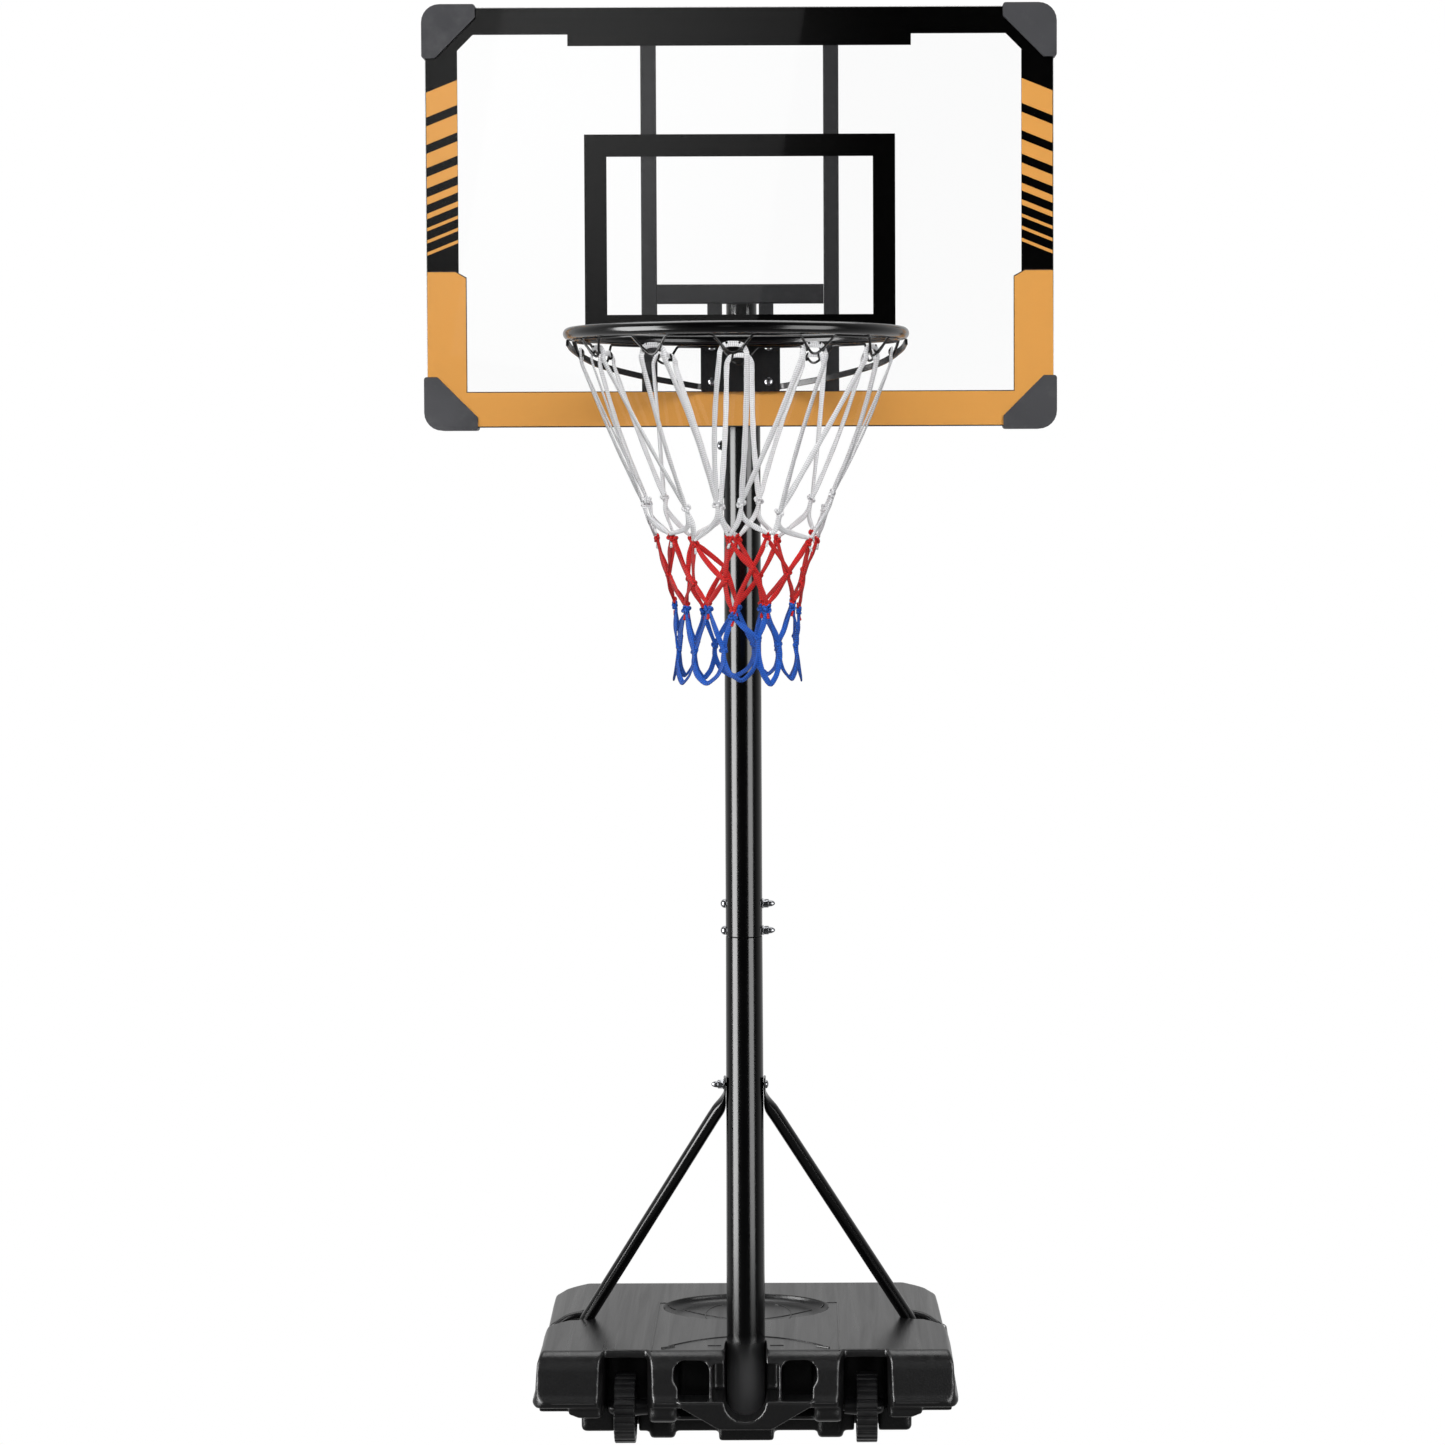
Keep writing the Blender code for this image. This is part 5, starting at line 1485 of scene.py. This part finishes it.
def make_cap(plastic, rubber):
    """The screw plug with its ribbed edge and grip, and its washer."""
    centre = box_centre("fill_cap")
    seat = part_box("cap_seal")[0].y - 0.0003
    place = (centre.x, seat, centre.z)
    steps = 144
    profile = [
        (0, 0.0113), (0.016, 0.0115), (0.0205, 0.0108), (0.0235, 0.0088), (0.0246, 0.0068), (0.0252, 0.0022),
        (0.0165, 0.0022), (0.0165, -0.007), (0.0145, -0.0078), (0, -0.0078),
    ]
    vertices, faces = revolve(profile, steps)
    shaped = []
    for x, y, z in vertices:
        if math.hypot(x, y) > 0.0240 and z > 0.002 and round(math.atan2(y, x) / math.tau * steps) % 4 < 2:
            x, y = x * (1 - 0.018), y * (1 - 0.018)
        shaped.append((x, y, z))
    bundle = Bundle()
    bundle.add(placed(shaped, place, "Y"), faces)
    stand_in(bundle.build("fill_cap_ribbed", plastic, 30), "fill_cap")
    grip = block("fill_cap_grip", (centre.x - 0.003, seat + 0.010, centre.z - 0.014),
                 (centre.x + 0.003, seat + 0.0135, centre.z + 0.014), plastic, 0.0012)
    grip = bake_modifiers(grip, "fill_cap_grip")
    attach(grip, "plug")
    ring = [
        (0.0229, 0.0019), (0.0235, 0.0014), (0.0235, 0.0008), (0.0229, 0.0003), (0.0186, 0.0003),
        (0.0186, 0.0019),
    ]
    stand_in(turned("cap_seal_ring", ring, place, "Y", rubber, 72, True), "cap_seal")


def make_wheels(plastic, paint):
    """Moulded wheels with stepped tread ribs, a dished web and spokes, their axle and its end caps."""
    half, bore_radius = 0.0155, 0.0064
    tread_drops = (0.0, 0.0, 0.0, 0.0, 0.0004, 0.0024, 0.0024, 0.0006)
    steps = 26 * len(tread_drops)
    spoke_plan = [(0.0125, -0.0016), (0.0400, -0.0013), (0.0400, 0.0013), (0.0125, 0.0016)]
    spoke_faces = [(3, 2, 1, 0), (4, 5, 6, 7), (0, 1, 5, 4), (1, 2, 6, 5), (2, 3, 7, 6), (3, 0, 4, 7)]
    clip_profile = [
        (0, 0.0095), (0.004, 0.0093), (0.0068, 0.0082), (0.0088, 0.0060), (0.0097, 0.0035), (0.0105, 0.0004),
        (0.0103, 0), (0.0064, 0), (0.0064, 0.0074), (0, 0.0074),
    ]
    for word, side in SIDES:
        low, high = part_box(f"wheel_{word}")
        radius = (high.z - low.z) / 2
        axle_z = (high.z + low.z) / 2
        inner_face, outer_face = (low.x, high.x) if side > 0 else (-high.x, -low.x)
        centre = side * (outer_face - half)
        hub = abs(centre) - inner_face
        tread = [
            (0.0410, half - 0.001), (0.0418, half), (radius - 0.0020, half), (radius - 0.0008, half - 0.0004),
            (radius, half - 0.0014), (radius, half * 0.33),
        ]
        profile = [
            (bore_radius, half), (0.0122, half), (0.013, half - 0.0008), (0.0145, half - 0.006),
            (0.036, half - 0.0065), (0.0395, half - 0.006),
        ] + tread + [(r, -z) for r, z in reversed(tread)] + [
            (0.0395, 0.006 - half), (0.036, 0.0065 - half), (0.0145, 0.006 - half), (0.012, -half),
            (0.0105, -hub), (bore_radius, -hub),
        ]
        vertices, faces = revolve(profile, steps, True)
        shaped = []
        for x, y, z in vertices:
            r = math.hypot(x, y)
            if r > radius - 0.0025:
                drop = tread_drops[round(math.atan2(y, x) / math.tau * steps) % len(tread_drops)]
                x, y = x * (1 - drop / r), y * (1 - drop / r)
            shaped.append((x, y, z))
        bundle = Bundle()
        axis = "X" if side > 0 else "-X"
        place = (centre, 0, axle_z)
        bundle.add(placed(shaped, place, axis), faces)
        for spoke in range(6):
            turn = Matrix.Rotation(spoke * math.tau / 6, 4, "Z")
            for face in (1, -1):
                levels = sorted((face * (half - 0.0068), face * (half - 0.0012)))
                corners = [turn @ Vector((x, y, z)) for z in levels for x, y in spoke_plan]
                bundle.add(placed(corners, place, axis), spoke_faces)
        stand_in(bundle.build(f"wheel_{word}_ribbed", plastic, 28), f"wheel_{word}")
        clip_low, clip_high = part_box(f"axle_clip_{word}")
        start = (clip_low.x if side > 0 else clip_high.x, 0, axle_z)
        clip = turned(f"axle_clip_{word}_cap", clip_profile, start, axis, plastic, 48)
        stand_in(clip, f"axle_clip_{word}")
    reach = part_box("wheel_axle")[1].x
    rod = [
        (0, reach), (0.0052, reach), (0.006, reach - 0.0008), (0.006, 0.0008 - reach), (0.0052, -reach),
        (0, -reach),
    ]
    place = (0, 0, box_centre("wheel_axle").z)
    stand_in(turned("wheel_axle_rod", rod, place, "X", paint, 40), "wheel_axle")


# ------------------------------------------------------------------ the whole model
def main():
    make_camera()
    make_world()
    make_lights()
    make_floor()
    paint = powder_coat().material
    bright_paint = powder_coat("gloss_coat", (0.0012, 0.0012, 0.0014), 0.17).material
    pole_finish = powder_coat("pole_coat", (0.0010, 0.0010, 0.0012), 0.165)
    # The pole's finish turns paler and rougher towards its foot.
    paler_foot(pole_finish, (0.020, 0.020, 0.021), 0.55)
    pole_paint = pole_finish.material
    frame_paint = powder_coat("frame_coat", (0.019, 0.019, 0.0205), 0.55, 0.15).material
    tank_finish = tank_plastic()
    wheel_finish = plain_plastic("wheel_plastic", (0.006, 0.006, 0.0065), 0.32, wear=0.12)
    dark = plain_plastic("dark_plastic", (0.014, 0.014, 0.015), 0.45)
    rubber = plain_plastic("pad_rubber", (0.025, 0.0255, 0.030), 0.5, 700, 0.00025, 0.25)
    seal = plain_plastic("seal_rubber", (0.02, 0.02, 0.02), 0.8)
    steel = zinc()
    clear = clear_sheet()
    black_ink = print_ink("ink_black", (0.0004, 0.0004, 0.0004))
    orange_ink = print_ink("ink_orange", (0.80, 0.385, 0.095))
    grey_ink = print_ink("ink_edge", (0.06, 0.05, 0.045))
    # Each cord's second colour is the painted shade in the grooves of its weave.
    white = braided_cord("cord_white", (0.84, 0.84, 0.85), (0.50, 0.50, 0.52))
    red = braided_cord("cord_red", (0.74, 0.010, 0.009), (0.28, 0.003, 0.003))
    blue = braided_cord("cord_blue", (0.008, 0.115, 0.60), (0.002, 0.035, 0.22))

    make_poles(pole_paint, dark)
    make_braces(bright_paint, steel)
    make_fasteners(steel)
    make_panel(clear)
    make_prints(black_ink, orange_ink, grey_ink)
    make_frame(frame_paint)
    make_pads(rubber)
    make_brackets(paint)
    make_rim(paint, bright_paint)
    make_hooks(bright_paint)
    make_net(white, red, blue)
    tank = make_tank(tank_finish)
    make_deck_lines(tank, tank_finish)
    make_parting_line(tank_finish)
    make_cap(dark, seal)
    make_wheels(wheel_finish, paint)
    water = plain_plastic("ballast_water", (0.30, 0.45, 0.50), 0.1)
    frame["nodes"]["water_ballast"].data.materials.clear()
    frame["nodes"]["water_ballast"].data.materials.append(water)
    bpy.context.scene.view_settings.view_transform = "Standard"


main()
